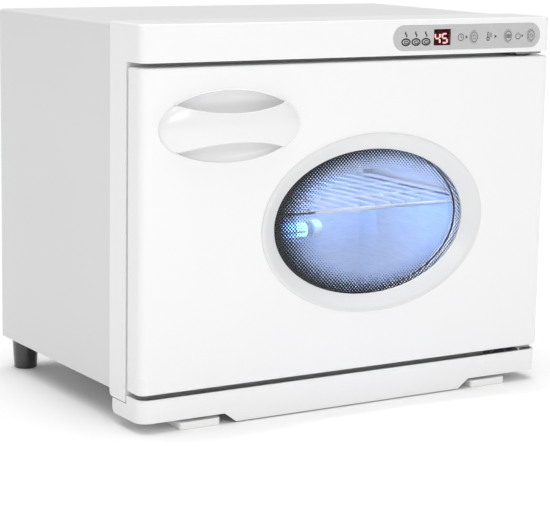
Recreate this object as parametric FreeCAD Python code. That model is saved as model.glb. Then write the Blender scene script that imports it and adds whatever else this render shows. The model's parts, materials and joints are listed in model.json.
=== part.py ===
import FreeCAD, Part
import math
import os

# Hot towel cabinet for a salon: a heated, lamp-sterilised box with a hinged front door.
# Millimetres. +Z up, +X to the right as seen from the front, the door faces -Y.
# Local depths (Y) are measured from the door's flat face, positive towards the back.
# export() moves every solid so that the row's origin is under the middle of the object.

V = FreeCAD.Vector
X_AXIS = V(1, 0, 0)
Y_AXIS = V(0, 1, 0)
Z_AXIS = V(0, 0, 1)

# ---- overall size ---------------------------------------------------------------------
WIDTH = 450.0              # front frame, door and drip tray
HEIGHT = 362.0             # floor to the top of the front frame
DEPTH = 300.0              # door face to the back of the case
HALF_W = WIDTH / 2

# ---- case -----------------------------------------------------------------------------
CASE_HALF_W = 224.0
CASE_BOTTOM = 31.0
CASE_TOP = 360.0
SHEET = 1.2                # steel sheet
RETURN_FLANGE = 12.0
BASE_FLANGE = 14.0

# ---- front frame ----------------------------------------------------------------------
FRAME_FACE = 28.0          # front of the frame around the chamber mouth
FRAME_BACK = 59.0
FRAME_BOTTOM = 24.5
WALL = 3.0                 # moulded plastic
HEADER_BOTTOM = 328.5
FRONT_CORNER = 8.0         # plan radius of the upright front edges

# ---- chamber --------------------------------------------------------------------------
MOUTH_HALF_W = 190.0
CHAMBER_FLOOR = 55.0
CHAMBER_ROOF = 305.0
CHAMBER_FRONT = FRAME_FACE + WALL
CHAMBER_BACK = 270.0
LINER = 1.0
JACKET_HALF_W = 216.0
JACKET_BOTTOM = 36.0
JACKET_TOP = 327.0
JACKET_BACK = 292.0

# ---- door -----------------------------------------------------------------------------
DOOR_BOTTOM = 35.4
DOOR_TOP = 324.2
DOOR_THICK = 25.0
DOOR_BACK_EDGE = 1.5       # radius of the free side's back edge
DOOR_SKIN = 3.0
DOOR_LIP_X = 200.0         # half width of the opening in the door shell's back
DOOR_LIP_Z = 10.0          # height of the shell's rim above and below that opening
PANEL_BACK = DOOR_THICK - 0.4          # back face of the door's inner sheet
PANEL_SHEET = 2.4
DOOR_BOSS_R = 3.2
DOOR_SCREW_R = 1.4
SEAL_HALF_W = 199.0
SEAL_BOTTOM, SEAL_TOP = 47.5, 312.9
SEAL_BAND = 7.0
MAGNET_X = -207.0
MAGNET_Z = 180.0
HINGE_X = 212.5
HINGE_Y = 12.5
PIN_R = 2.5
BUSH_R = 5.0
BUSH_BORE = PIN_R + 0.05
BUSH_DEPTH = 13.0
PIN_REACH = 11.0           # how far each pin goes into the door
TOP_BRACKET_Z = HEADER_BOTTOM - 2.2
BOTTOM_BRACKET_Z = 34.1
BRACKET_THICK = 2.0
BRACKET_GAP = 0.02
TOP_BRACKET_X0 = 188.0
TOP_SCREW_XS = (193.5, 204.0)
TOP_SCREW_Y = 20.0
BOTTOM_BRACKET_X0 = 201.0
BOTTOM_FLANGE_X0 = 178.0
BRACKET_X1 = 220.0
BOTTOM_SCREW_XS = (186.0, 204.0)
BOTTOM_SCREW_Z = 28.8
HINGE_SCREW_R = 1.5

# ---- window (an upright ellipse in the door) --------------------------------------------
WIN_X = 22.0
WIN_Z = 173.5
BEZEL_A, BEZEL_B = 124.5, 84.5         # outer edge of the bezel
NECK_A, NECK_B = 122.3, 82.3           # where the bezel passes through the door skin
SIGHT_A, SIGHT_B = 106.5, 68.5         # visible edge of the glass
PANE_A, PANE_B = 112.0, 74.0
BEZEL_PROUD = 1.4
PANE_FRONT = 7.8
PANE_THICK = 2.8
INNER_PANE_Y = 19.4
INNER_PANE_THICK = 2.6

# ---- door handle ------------------------------------------------------------------------
GRIP_X = -136.0
GRIP_Z = 271.0
DISH_A, DISH_B = 70.5, 32.0
DISH_DEEP = 17.0
GRIP_BULGE = 15.0
HANDLE_WALL = 2.0
GRIP_WALL = 3.0
GRIP_END_X = 54.4          # half width where the grip's edges meet the dish rim
GRIP_END_Z = 20.4
GRIP_BOW = 7.4             # how far each edge dips towards the grip's centre line

# ---- drip tray and feet -----------------------------------------------------------------
TRAY_BACK = 53.0
TRAY_BOTTOM = 10.0
TRAY_TOP = 31.0
TRAY_SIDE_TOP = 23.6
TRAY_STEP_Y = 25.8
TRAY_WALL = 2.5
TRAY_CORNER = 12.0
SKIRT_BOTTOM = 1.2
SKIRT_HALF_TOP = 138.0
SKIRT_HALF_BOTTOM = 126.0
TOE_X = 163.0
TOE_W = 41.5
TOE_FRONT = 0.5
TOE_TOP = 6.8
HEEL_FRONT = 61.0
HEEL_BACK = 86.0
REAR_FOOT_X = 206.0
REAR_FOOT_Y = 284.0
REAR_FOOT_R_TOP = 13.4
REAR_FOOT_R_BOTTOM = 11.5

# ---- control panel ----------------------------------------------------------------------
PANEL_X0, PANEL_X1 = 37.1, 211.6
PANEL_Z = 344.7
PANEL_H = 23.6
PANEL_SUNK = 0.5
PANEL_PROUD = 0.15
SCREEN_X0, SCREEN_X1 = 83.6, 103.3
SCREEN_Z0, SCREEN_Z1 = 337.2, 352.4
BUTTON_XS = {"time_button": 130.8, "temperature_button": 171.9, "power_button": 200.1}
BUTTON_Z = 344.3
BUTTON_A, BUTTON_B = 4.7, 5.8
BUTTON_PROUD = 0.9
BUTTON_TRAVEL = 0.6
BUTTON_CLEAR = 0.3
BOARD_Y = 9.0
SWITCH_TOP = BOARD_Y - 3.3             # tip of a switch's plunger
SEGMENTS = {"4": "bcfg", "5": "acdfg"}
DIGIT_W, DIGIT_H, SEG_T = 5.4, 9.8, 1.35
DIGIT_DROP = 1.3           # how far the digits sit below the middle of the screen

# ---- shelf, lamp and heater -------------------------------------------------------------
SHELF_ROD_Z = 178.0
SHELF_ROD_R = 2.0
SHELF_HALF_W = 184.0
SHELF_FRONT = 52.0
SHELF_BACK = 246.0
SHELF_BEND = 9.0
SHELF_WIRE_R = 1.2
SHELF_WIRES = 19
RAIL_TOP = SHELF_ROD_Z - SHELF_ROD_R - 0.3
LAMP_Y = 253.0
LAMP_Z = 122.0
LAMP_R = 7.75
LAMP_HALF = 106.0
HEATER_TOP = CHAMBER_FLOOR - LINER - 0.1
SPREADER_THICK = 2.5
HEATER_THICK = 1.6
DISC_R = 8.0

# ---- mains inlet and wiring -------------------------------------------------------------
INLET_X = 206.0
INLET_Z = 97.0
INLET_HALF_W = 13.5
INLET_HALF_H = 19.0
INLET_CLIP = 4.5
INLET_WALL = 1.8
INLET_DEEP = 22.0
SOCKET_DEEP = 18.0
INLET_SCREW_SEAT = DEPTH + 0.6
INLET_HEAD_R = 2.6
LOOM_X = 219.6
LOOM_Y = 272.0
LOOM_R = 2.4
LOOM_BEND = 9.0

SCREW_HEAD_R = 3.6
SCREW_HEAD_H = 2.2
SCREW_R = 1.8              # screw hole
SCREW_CLEAR = 0.05         # how much thinner a shank is than its hole, in radius

MID_DEPTH = (DEPTH + SCREW_HEAD_H - GRIP_BULGE) / 2


# ---- helpers ----------------------------------------------------------------------------
def box(x0, x1, y0, y1, z0, z1):
    return Part.makeBox(x1 - x0, y1 - y0, z1 - z0, V(x0, y0, z0))


def rod(radius, start, end):
    """A solid cylinder from one point to another."""
    way = end.sub(start)
    return Part.makeCylinder(radius, way.Length, start, way)


def mirrored(shape):
    """The same shape on the other side of the middle plane."""
    return shape.mirror(V(0, 0, 0), X_AXIS)


def pair(shape):
    return Part.makeCompound([shape, mirrored(shape)])


def upright_rounded(x0, x1, y0, y1, z0, z1, front_r, back_left_r=0.0, back_right_r=0.0):
    """A block whose upright edges are rounded in plan."""
    block = box(x0, x1, y0, y1, z0, z1)
    corners = [(x0, y0, front_r), (x1, y0, front_r), (x0, y1, back_left_r), (x1, y1, back_right_r)]
    for x, y, radius in corners:
        if radius:
            upright = edges_at(block, lambda p: abs(p.x - x) < 0.01 and abs(p.y - y) < 0.01)
            block = block.makeFillet(radius, upright)
    return block


def edges_at(shape, test):
    """Edges whose whole length passes a test on its points."""
    found = []
    for edge in shape.Edges:
        points = edge.discretize(7)
        if all(test(p) for p in points):
            found.append(edge)
    return found


def ellipse_wire(cx, cz, a, b, y):
    """An upright ellipse facing -Y, with a along X and b along Z."""
    if a >= b:
        curve = Part.Ellipse(V(cx + a, y, cz), V(cx, y, cz + b), V(cx, y, cz))
    else:
        curve = Part.Ellipse(V(cx, y, cz + b), V(cx - a, y, cz), V(cx, y, cz))
    return Part.Wire([curve.toShape()])


def ellipse_plate(cx, cz, a, b, y0, y1):
    face = Part.Face(ellipse_wire(cx, cz, a, b, y0))
    plate = face.extrude(V(0, y1 - y0, 0))
    return plate


def ellipse_cone(cx, cz, a0, b0, y0, a1, b1, y1):
    """A solid whose section runs from one ellipse to another."""
    wires = [ellipse_wire(cx, cz, a0, b0, y0), ellipse_wire(cx, cz, a1, b1, y1)]
    return Part.makeLoft(wires, True, True)


def ellipsoid(cx, cz, a, depth, b):
    """An ellipsoid centred on the door's face, with its poles on the Y axis."""
    ball = Part.makeSphere(1.0, V(0, 0, 0), Y_AXIS)
    stretch = FreeCAD.Matrix()
    stretch.scale(V(a, depth, b))
    shape = ball.transformGeometry(stretch)
    shape.translate(V(cx, 0, cz))
    return shape


def panel_pill(grow, y0, y1):
    """The control panel's outline, a slot with round ends, grown by a margin."""
    r = PANEL_H / 2 + grow
    x0 = PANEL_X0 + PANEL_H / 2
    x1 = PANEL_X1 - PANEL_H / 2
    body = box(x0, x1, y0, y1, PANEL_Z - r, PANEL_Z + r)
    for x in (x0, x1):
        body = body.fuse(rod(r, V(x, y0, PANEL_Z), V(x, y1, PANEL_Z)))
    return body.removeSplitter()


def pan_screw(point, way, length, head_r=SCREW_HEAD_R, head_h=SCREW_HEAD_H, hole_r=SCREW_R):
    """A cross-head screw: head stands on the point, shank runs along way in its hole."""
    way = V(way).normalize()
    head = Part.makeCylinder(head_r, head_h, point.sub(way * head_h), way)
    rim = [e for e in head.Edges
           if e.CenterOfMass.sub(point).Length > head_h * 0.9
           and abs(e.Length - 2 * math.pi * head_r) < 0.01]
    head = head.makeFillet(head_h * 0.45, rim)
    shank = Part.makeCylinder(hole_r - SCREW_CLEAR, length, point, way)
    screw = head.fuse(shank)
    across = way.cross(Z_AXIS if abs(way.z) < 0.9 else X_AXIS).normalize()
    other = way.cross(across).normalize()
    for arm in (across, other):
        side = way.cross(arm).normalize()
        slot_len, slot_w, slot_deep = head_r * 1.1, head_r * 0.22, head_h * 0.55
        corner = point.sub(way * (head_h + 0.01)).sub(arm * (slot_len / 2)).sub(side * (slot_w / 2))
        wire = Part.makePolygon([
            corner,
            corner.add(arm * slot_len),
            corner.add(arm * slot_len).add(side * slot_w),
            corner.add(side * slot_w),
            corner,
        ])
        screw = screw.cut(Part.Face(wire).extrude(way * slot_deep))
    return screw


def export(name, shape):
    shape = shape.copy()
    shape.translate(V(0, -MID_DEPTH, 0))
    if not shape.isValid():
        print("not valid:", name)
    print(name, len(shape.Solids), round(sum(s.Volume for s in shape.Solids), 1))
    shape.exportStep("parts/" + name + ".step")


# ---- places that several pieces share ---------------------------------------------------
REAR_SCREW_PLACES = [
    (side * (CASE_HALF_W - SHEET - RETURN_FLANGE / 2), z)
    for side in (-1, 1)
    for z in (60.0, 195.0, 330.0)
] + [(x, CASE_TOP - SHEET - RETURN_FLANGE / 2) for x in (-110.0, 110.0)]
FOOT_SCREW_LEN = 8.0
HEEL_SCREW_Y = (HEEL_FRONT + HEEL_BACK) / 2 + 2
DOOR_SCREW_PLACES = [(x, z) for x in (-182.0, 180.0) for z in (58.0, 180.0, 302.0)]
INLET_SCREW_ZS = (INLET_Z - 22.2, INLET_Z + 22.2)
INLET_PIN_PLACES = [
    (INLET_X - 3.0, INLET_Z - 7.0),
    (INLET_X - 3.0, INLET_Z + 7.0),
    (INLET_X + 3.5, INLET_Z),
]


# ---- case -------------------------------------------------------------------------------
def outer_case():
    """Bent steel wrap: top and both sides, with a return flange round the back."""
    outer = box(-CASE_HALF_W, CASE_HALF_W, FRAME_BACK, DEPTH, CASE_BOTTOM, CASE_TOP)
    top_edges = edges_at(outer, lambda p: abs(abs(p.x) - CASE_HALF_W) < 0.01 and abs(p.z - CASE_TOP) < 0.01)
    outer = outer.makeFillet(3.5, top_edges)
    inner = box(-CASE_HALF_W + SHEET, CASE_HALF_W - SHEET, FRAME_BACK - 1, DEPTH + 1,
                CASE_BOTTOM - 1, CASE_TOP - SHEET)
    bend = edges_at(inner, lambda p: abs(abs(p.x) - CASE_HALF_W + SHEET) < 0.01
                    and abs(p.z - CASE_TOP + SHEET) < 0.01)
    inner = inner.makeFillet(2.3, bend)
    wrap = outer.cut(inner)
    flange_y = DEPTH - 2 * SHEET
    flange = box(-CASE_HALF_W + SHEET, CASE_HALF_W - SHEET, flange_y, flange_y + SHEET,
                 CASE_BOTTOM, CASE_TOP - SHEET)
    flange = flange.common(inner)
    reach = CASE_HALF_W - SHEET - RETURN_FLANGE
    flange = flange.cut(box(-reach, reach, 0, DEPTH, CASE_BOTTOM - 1, CASE_TOP - SHEET - RETURN_FLANGE))
    wrap = wrap.fuse(flange)
    for x, z in REAR_SCREW_PLACES:
        wrap = wrap.cut(rod(SCREW_R, V(x, DEPTH - 5, z), V(x, DEPTH + 1, z)))
    wrap = wrap.cut(inlet_block(-0.3, DEPTH - 5, DEPTH + 1))
    return wrap


def inlet_block(shrink, y0, y1):
    """The inlet's outline, with two clipped corners on its outer side."""
    w = INLET_HALF_W - shrink
    h = INLET_HALF_H - shrink
    wire = Part.makePolygon([
        V(INLET_X - w, y0, INLET_Z - h),
        V(INLET_X + w - INLET_CLIP, y0, INLET_Z - h),
        V(INLET_X + w, y0, INLET_Z - h + INLET_CLIP),
        V(INLET_X + w, y0, INLET_Z + h - INLET_CLIP),
        V(INLET_X + w - INLET_CLIP, y0, INLET_Z + h),
        V(INLET_X - w, y0, INLET_Z + h),
        V(INLET_X - w, y0, INLET_Z - h),
    ])
    return Part.Face(wire).extrude(V(0, y1 - y0, 0))


def rear_panel():
    """Flat back sheet with rows of vent slots, screw holes and the inlet cut-out."""
    edge = CASE_HALF_W - SHEET - 0.2
    top = CASE_TOP - SHEET - 0.3
    panel = box(-edge, edge, DEPTH - SHEET, DEPTH, CASE_BOTTOM, top)
    corner = edges_at(panel, lambda p: abs(abs(p.x) - edge) < 0.01 and abs(p.z - top) < 0.01)
    panel = panel.makeFillet(2.0, corner)
    slot_w, slot_h, pitch = 3.2, 17.0, 9.0
    for row_z in (334.0, 54.0):
        for i in range(-9, 10):
            x = i * pitch
            slot = box(x - slot_w / 2, x + slot_w / 2, DEPTH - 3, DEPTH + 1,
                       row_z - slot_h / 2 + slot_w / 2, row_z + slot_h / 2 - slot_w / 2)
            for end_z in (row_z - slot_h / 2 + slot_w / 2, row_z + slot_h / 2 - slot_w / 2):
                slot = slot.fuse(rod(slot_w / 2, V(x, DEPTH - 3, end_z), V(x, DEPTH + 1, end_z)))
            panel = panel.cut(slot)
    for x, z in REAR_SCREW_PLACES:
        panel = panel.cut(rod(SCREW_R, V(x, DEPTH - 5, z), V(x, DEPTH + 1, z)))
    panel = panel.cut(inlet_block(-0.3, DEPTH - 5, DEPTH + 1))
    for z in INLET_SCREW_ZS:
        panel = panel.cut(rod(1.6, V(INLET_X, DEPTH - 5, z), V(INLET_X, DEPTH + 1, z)))
    return panel


def base_plate():
    """Bottom sheet with upturned side and back flanges and a short flange down at the front."""
    edge = CASE_HALF_W - SHEET - 0.2
    back = DEPTH - 2 * SHEET - 0.2
    front = FRAME_BACK + 0.3
    tray = box(-edge, edge, front, back, CASE_BOTTOM, CASE_BOTTOM + BASE_FLANGE)
    tray = tray.cut(box(-edge + SHEET, edge - SHEET, 0, back - SHEET,
                        CASE_BOTTOM + SHEET, CASE_BOTTOM + 2 * BASE_FLANGE))
    tray = tray.fuse(box(-edge + 6, edge - 6, front, front + SHEET, CASE_BOTTOM - 3.5, CASE_BOTTOM + SHEET))
    for x in (-REAR_FOOT_X, REAR_FOOT_X):
        tray = tray.cut(rod(SCREW_R, V(x, REAR_FOOT_Y, 20), V(x, REAR_FOOT_Y, 40)))
    for x in (-TOE_X, TOE_X):
        tray = tray.cut(rod(SCREW_R, V(x, HEEL_SCREW_Y, 20), V(x, HEEL_SCREW_Y, 40)))
    for x in (-120.0, 0.0, 120.0):
        for i in range(5):
            y = 160.0 + i * 12.0
            tray = tray.cut(box(x - 14, x + 14, y - 1.5, y + 1.5, 20, 40))
    return tray.removeSplitter()


# ---- front frame ------------------------------------------------------------------------
def front_frame():
    """One moulding: the surround of the chamber mouth and the header above the door."""
    surround = box(-HALF_W, HALF_W, FRAME_FACE, FRAME_BACK, FRAME_BOTTOM, HEIGHT)
    header = upright_rounded(-HALF_W, HALF_W, 0, FRAME_FACE + 1, HEADER_BOTTOM, HEIGHT, FRONT_CORNER)
    body = surround.fuse(header).removeSplitter()
    top_edges = edges_at(body, lambda p: abs(p.z - HEIGHT) < 0.01 and p.y < FRAME_BACK - 0.1
                         or (abs(p.z - HEIGHT) < 0.01 and abs(abs(p.x) - HALF_W) < 0.01))
    body = body.makeFillet(2.5, top_edges)
    heel = edges_at(body, lambda p: abs(p.y - FRAME_BACK) < 0.01 and abs(p.z - FRAME_BOTTOM) < 0.01)
    body = body.makeFillet(5.0, heel)
    lip = edges_at(body, lambda p: abs(p.z - HEADER_BOTTOM) < 0.01 and p.y < FRAME_FACE - 0.1)
    body = body.makeFillet(1.0, lip)
    inside = HALF_W - WALL
    body = body.cut(box(-inside, inside, CHAMBER_FRONT, FRAME_BACK + 1, FRAME_BOTTOM + WALL, HEIGHT - WALL))
    hollow = upright_rounded(-inside, inside, WALL, CHAMBER_FRONT + 1,
                             HEADER_BOTTOM + WALL, HEIGHT - WALL, FRONT_CORNER - WALL)
    body = body.cut(hollow)
    body = body.cut(box(-MOUTH_HALF_W, MOUTH_HALF_W, 0, CHAMBER_FRONT + 1, CHAMBER_FLOOR, CHAMBER_ROOF))
    # tongue that the steel case slides over
    tongue_x = CASE_HALF_W - SHEET - 0.2
    tongue_z = CASE_TOP - SHEET - 0.2
    tongue = box(-tongue_x, tongue_x, FRAME_BACK - 20, FRAME_BACK + 7,
                 CASE_BOTTOM + BASE_FLANGE + 0.4, tongue_z)
    tongue = tongue.makeFillet(2.0, edges_at(tongue, lambda p: abs(abs(p.x) - tongue_x) < 0.01
                                             and abs(p.z - tongue_z) < 0.01))
    tongue = tongue.cut(box(-tongue_x + 1.8, tongue_x - 1.8, 0, FRAME_BACK + 8, 0, tongue_z - 1.8))
    body = body.fuse(tongue)
    # seat, window and button holes of the control panel
    body = body.cut(panel_pill(0.1, -1, PANEL_SUNK))
    body = body.cut(box(SCREEN_X0, SCREEN_X1, -1, WALL + 1, SCREEN_Z0, SCREEN_Z1))
    for x in BUTTON_XS.values():
        body = body.cut(ellipse_plate(x, BUTTON_Z, BUTTON_A + 0.3, BUTTON_B + 0.3, -1, WALL + 1))
    # pocket for the magnet, beside the mouth on the handle side
    body = body.cut(magnet_block(0.1))
    for x in TOP_SCREW_XS:
        start = V(x, TOP_SCREW_Y, HEADER_BOTTOM - 1)
        body = body.cut(Part.makeCylinder(HINGE_SCREW_R, 9, start, Z_AXIS))
    for x in BOTTOM_SCREW_XS:
        start = V(x, FRAME_FACE - 1, BOTTOM_SCREW_Z)
        body = body.cut(Part.makeCylinder(HINGE_SCREW_R, 9, start, Y_AXIS))
    return body.removeSplitter()


def magnet_block(grow):
    return box(MAGNET_X - 4 - grow, MAGNET_X + 4 + grow, FRAME_FACE - grow, FRAME_FACE + 6 + grow,
               MAGNET_Z - 22 - grow, MAGNET_Z + 22 + grow)


def door_magnet():
    return magnet_block(0.0).cut(box(MAGNET_X - 5, MAGNET_X + 5, 0, FRAME_FACE + 0.3, 0, HEIGHT))


# ---- drip tray --------------------------------------------------------------------------
def drip_tray():
    """Pull-out trough across the front, with a deeper skirt between the front feet."""
    body = upright_rounded(-HALF_W, HALF_W, 0, TRAY_BACK, TRAY_BOTTOM, TRAY_TOP, TRAY_CORNER)
    body = body.cut(box(-HALF_W - 1, HALF_W + 1, TRAY_STEP_Y, TRAY_BACK + 1, TRAY_SIDE_TOP, TRAY_TOP + 1))
    heel = edges_at(body, lambda p: abs(p.y - TRAY_BACK) < 0.01 and abs(p.z - TRAY_BOTTOM) < 0.01)
    body = body.makeFillet(5.0, heel)
    rim = edges_at(body, lambda p: abs(p.z - TRAY_TOP) < 0.01 and p.y < TRAY_STEP_Y - 0.1)
    body = body.makeFillet(0.9, rim)
    trough = upright_rounded(-HALF_W + TRAY_WALL, HALF_W - TRAY_WALL, TRAY_WALL, TRAY_BACK - TRAY_WALL,
                             TRAY_BOTTOM + TRAY_WALL, TRAY_TOP + 1, TRAY_CORNER - TRAY_WALL)
    body = body.cut(trough)
    skirt = Part.Face(Part.makePolygon([
        V(-SKIRT_HALF_TOP, 0, TRAY_BOTTOM),
        V(-SKIRT_HALF_BOTTOM, 0, SKIRT_BOTTOM),
        V(SKIRT_HALF_BOTTOM, 0, SKIRT_BOTTOM),
        V(SKIRT_HALF_TOP, 0, TRAY_BOTTOM),
        V(SKIRT_HALF_TOP, 0, TRAY_BOTTOM + 1),
        V(-SKIRT_HALF_TOP, 0, TRAY_BOTTOM + 1),
        V(-SKIRT_HALF_TOP, 0, TRAY_BOTTOM),
    ])).extrude(V(0, TRAY_WALL, 0))
    body = body.fuse(skirt)
    for x in (-90.0, 0.0, 90.0):
        rib = box(x - 1, x + 1, TRAY_WALL - 0.5, 14.0, SKIRT_BOTTOM + 2, TRAY_BOTTOM + 1)
        body = body.fuse(rib)
    return body.removeSplitter()


# ---- feet -------------------------------------------------------------------------------
def front_foot(x):
    """A moulded foot under the base whose toe reaches forward below the drip tray."""
    toe = upright_rounded(x - TOE_W / 2, x + TOE_W / 2, TOE_FRONT, HEEL_BACK, 0, TOE_TOP, 3.0)
    toe = toe.makeFillet(1.0, edges_at(toe, lambda p: abs(p.z) < 0.01))
    heel = box(x - TOE_W / 2, x + TOE_W / 2, HEEL_FRONT, HEEL_BACK, TOE_TOP - 1, CASE_BOTTOM)
    foot = toe.fuse(heel).removeSplitter()
    foot = foot.cut(rod(5.0, V(x, HEEL_SCREW_Y, -1), V(x, HEEL_SCREW_Y, CASE_BOTTOM - 6)))
    foot = foot.cut(rod(SCREW_R, V(x, HEEL_SCREW_Y, 0), V(x, HEEL_SCREW_Y, CASE_BOTTOM + 1)))
    return foot


def rear_foot(x):
    """A black rubber stub that tapers downwards."""
    foot = Part.makeCone(REAR_FOOT_R_BOTTOM, REAR_FOOT_R_TOP, CASE_BOTTOM, V(x, REAR_FOOT_Y, 0), Z_AXIS)
    foot = foot.makeFillet(1.4, edges_at(foot, lambda p: abs(p.z) < 0.01))
    foot = foot.cut(rod(5.0, V(x, REAR_FOOT_Y, -1), V(x, REAR_FOOT_Y, CASE_BOTTOM - 8)))
    foot = foot.cut(rod(SCREW_R, V(x, REAR_FOOT_Y, 0), V(x, REAR_FOOT_Y, CASE_BOTTOM + 1)))
    return foot


def foot_screws():
    screws = []
    for x in (-TOE_X, TOE_X):
        screws.append(pan_screw(V(x, HEEL_SCREW_Y, CASE_BOTTOM - 6), Z_AXIS, FOOT_SCREW_LEN))
    for x in (-REAR_FOOT_X, REAR_FOOT_X):
        screws.append(pan_screw(V(x, REAR_FOOT_Y, CASE_BOTTOM - 8), Z_AXIS, FOOT_SCREW_LEN + 2))
    return Part.makeCompound(screws)


# ---- chamber ----------------------------------------------------------------------------
def chamber_liner():
    """The bright metal box that holds the towels, open to the front, with a mouth flange."""
    x, z0, z1 = MOUTH_HALF_W, CHAMBER_FLOOR, CHAMBER_ROOF
    outer = box(-x - LINER, x + LINER, CHAMBER_FRONT, CHAMBER_BACK + LINER, z0 - LINER, z1 + LINER)
    flange = box(-x - 10, x + 10, CHAMBER_FRONT, CHAMBER_FRONT + LINER, z0 - 10, z1 + 10)
    liner = outer.fuse(flange)
    liner = liner.cut(box(-x, x, CHAMBER_FRONT - 1, CHAMBER_BACK, z0, z1))
    return liner.removeSplitter()


def insulation_jacket():
    """Fibre jacket round the liner, with pockets for the heater, the sensors and the inlet."""
    gap = 0.2
    jacket = box(-JACKET_HALF_W, JACKET_HALF_W, CHAMBER_FRONT + LINER + gap, JACKET_BACK,
                 JACKET_BOTTOM, JACKET_TOP)
    x = MOUTH_HALF_W + LINER + gap
    jacket = jacket.cut(box(-x, x, 0, CHAMBER_BACK + LINER + gap,
                            CHAMBER_FLOOR - LINER - gap, CHAMBER_ROOF + LINER + gap))
    heater_z = HEATER_TOP - SPREADER_THICK - HEATER_THICK - gap
    jacket = jacket.cut(box(-152, 152, 73, 232, heater_z, CHAMBER_FLOOR))
    for cx in (-45.0, 45.0):
        jacket = jacket.cut(rod(DISC_R + 1.5, V(cx, 150, heater_z - 9), V(cx, 150, heater_z + 1)))
    jacket = jacket.cut(box(-12, 12, 140, 160, CHAMBER_ROOF, CHAMBER_ROOF + 9))
    jacket = jacket.cut(box(INLET_X - 15.5, INLET_X + 20, 258, JACKET_BACK + 1,
                            INLET_Z - 27, INLET_Z + 27))
    jacket = jacket.cut(box(MAGNET_X - 5, MAGNET_X + 5, 0, FRAME_FACE + 7, MAGNET_Z - 23, MAGNET_Z + 23))
    for x in BOTTOM_SCREW_XS:
        jacket = jacket.cut(rod(2.5, V(x, 0, BOTTOM_SCREW_Z), V(x, FRAME_FACE + 10, BOTTOM_SCREW_Z)))
    return jacket


def heat_spreader():
    """Aluminium plate under the chamber floor."""
    return box(-150, 150, 75, 230, HEATER_TOP - SPREADER_THICK, HEATER_TOP)


def heating_element():
    """Flat element on the underside of the spreader, folded back and forth."""
    z1 = HEATER_TOP - SPREADER_THICK
    z0 = z1 - HEATER_THICK
    lanes = 6
    pitch = 24.0
    half = 135.0
    lane_w = 12.0
    y_first = 152.5 - (lanes - 1) * pitch / 2
    strip = None
    for i in range(lanes):
        y = y_first + i * pitch
        lane = box(-half, half, y - lane_w / 2, y + lane_w / 2, z0, z1)
        strip = lane if strip is None else strip.fuse(lane)
        if i:
            side = half if i % 2 else -half
            strip = strip.fuse(box(side - lane_w / 2, side + lane_w / 2, y - pitch, y, z0, z1))
    return strip.removeSplitter()


def disc_sensor(cx):
    """A disc thermostat with a flanged can and two blade terminals."""
    top = HEATER_TOP - SPREADER_THICK - HEATER_THICK - 0.05
    body = rod(DISC_R, V(cx, 150, top - 2), V(cx, 150, top))
    body = body.fuse(rod(DISC_R * 0.72, V(cx, 150, top - 5.5), V(cx, 150, top - 2)))
    for side in (-1, 1):
        body = body.fuse(box(cx + side * 3 - 0.4, cx + side * 3 + 0.4, 147, 153, top - 8.5, top - 5))
    return body


def temperature_sensor():
    """A bead probe in a clip on the chamber roof."""
    z = CHAMBER_ROOF + LINER
    clip = box(-9, 9, 144, 156, z + 0.02, z + 1.0)
    bead = rod(2.5, V(-7, 150, z + 3.4), V(7, 150, z + 3.4))
    return clip.fuse(bead)


def shelf_rail():
    """A ledge on the right wall that carries the shelf's side."""
    y0 = 42.0
    y1 = SHELF_BACK + SHELF_ROD_R + 2.4
    wall = MOUTH_HALF_W - 0.02
    ledge = box(wall - 11, wall, y0, y1, RAIL_TOP - 1.4, RAIL_TOP)
    skirt = box(wall - 1.4, wall, y0, y1, RAIL_TOP - 12, RAIL_TOP)
    stop = box(wall - 11, wall, y1 - 2.0, y1, RAIL_TOP - 1, RAIL_TOP + 8)
    return ledge.fuse(skirt).fuse(stop).removeSplitter()


def rounded_frame(half_w, y0, y1, z, bend, radius):
    """A closed rectangle of round rod with bent corners."""
    pieces = [
        rod(radius, V(-half_w, y0 + bend, z), V(-half_w, y1 - bend, z)),
        rod(radius, V(half_w, y0 + bend, z), V(half_w, y1 - bend, z)),
    ]
    for y in (y0, y1):
        cross = rod(radius, V(-half_w + bend, y, z), V(half_w - bend, y, z))
        # a quarter turn keeps the rod's seam line clear of the elbows' seams
        cross.rotate(V(0, y, z), X_AXIS, 90)
        pieces.append(cross)
    corners = [
        (half_w - bend, y1 - bend, 0),
        (-half_w + bend, y1 - bend, 90),
        (-half_w + bend, y0 + bend, 180),
        (half_w - bend, y0 + bend, 270),
    ]
    for cx, cy, turn in corners:
        elbow = Part.makeTorus(bend, radius, V(0, 0, 0), Z_AXIS, 0, 360, 90)
        elbow.rotate(V(0, 0, 0), Z_AXIS, turn)
        elbow.translate(V(cx, cy, z))
        pieces.append(elbow)
    return pieces


def wire_shelf():
    """Welded wire shelf: a bent rod frame, two bars across and thin wires front to back."""
    pieces = rounded_frame(SHELF_HALF_W, SHELF_FRONT, SHELF_BACK, SHELF_ROD_Z, SHELF_BEND, SHELF_ROD_R)
    for y in (SHELF_FRONT + 64, SHELF_BACK - 64):
        pieces.append(rod(1.6, V(-SHELF_HALF_W, y, SHELF_ROD_Z + 0.3), V(SHELF_HALF_W, y, SHELF_ROD_Z + 0.3)))
    wire_z = SHELF_ROD_Z + SHELF_ROD_R + SHELF_WIRE_R - 0.5
    spacing = 2 * (SHELF_HALF_W - 14) / (SHELF_WIRES - 1)
    for i in range(SHELF_WIRES):
        x = -SHELF_HALF_W + 14 + i * spacing
        pieces.append(rod(SHELF_WIRE_R, V(x, SHELF_FRONT - 0.6, wire_z), V(x, SHELF_BACK + 0.6, wire_z)))
    shelf = pieces[0].multiFuse(pieces[1:])
    return shelf


# ---- ultraviolet lamp -------------------------------------------------------------------
def lamp_tube():
    """Glass tube of the steriliser lamp."""
    return rod(LAMP_R, V(-LAMP_HALF, LAMP_Y, LAMP_Z), V(LAMP_HALF, LAMP_Y, LAMP_Z))


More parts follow.
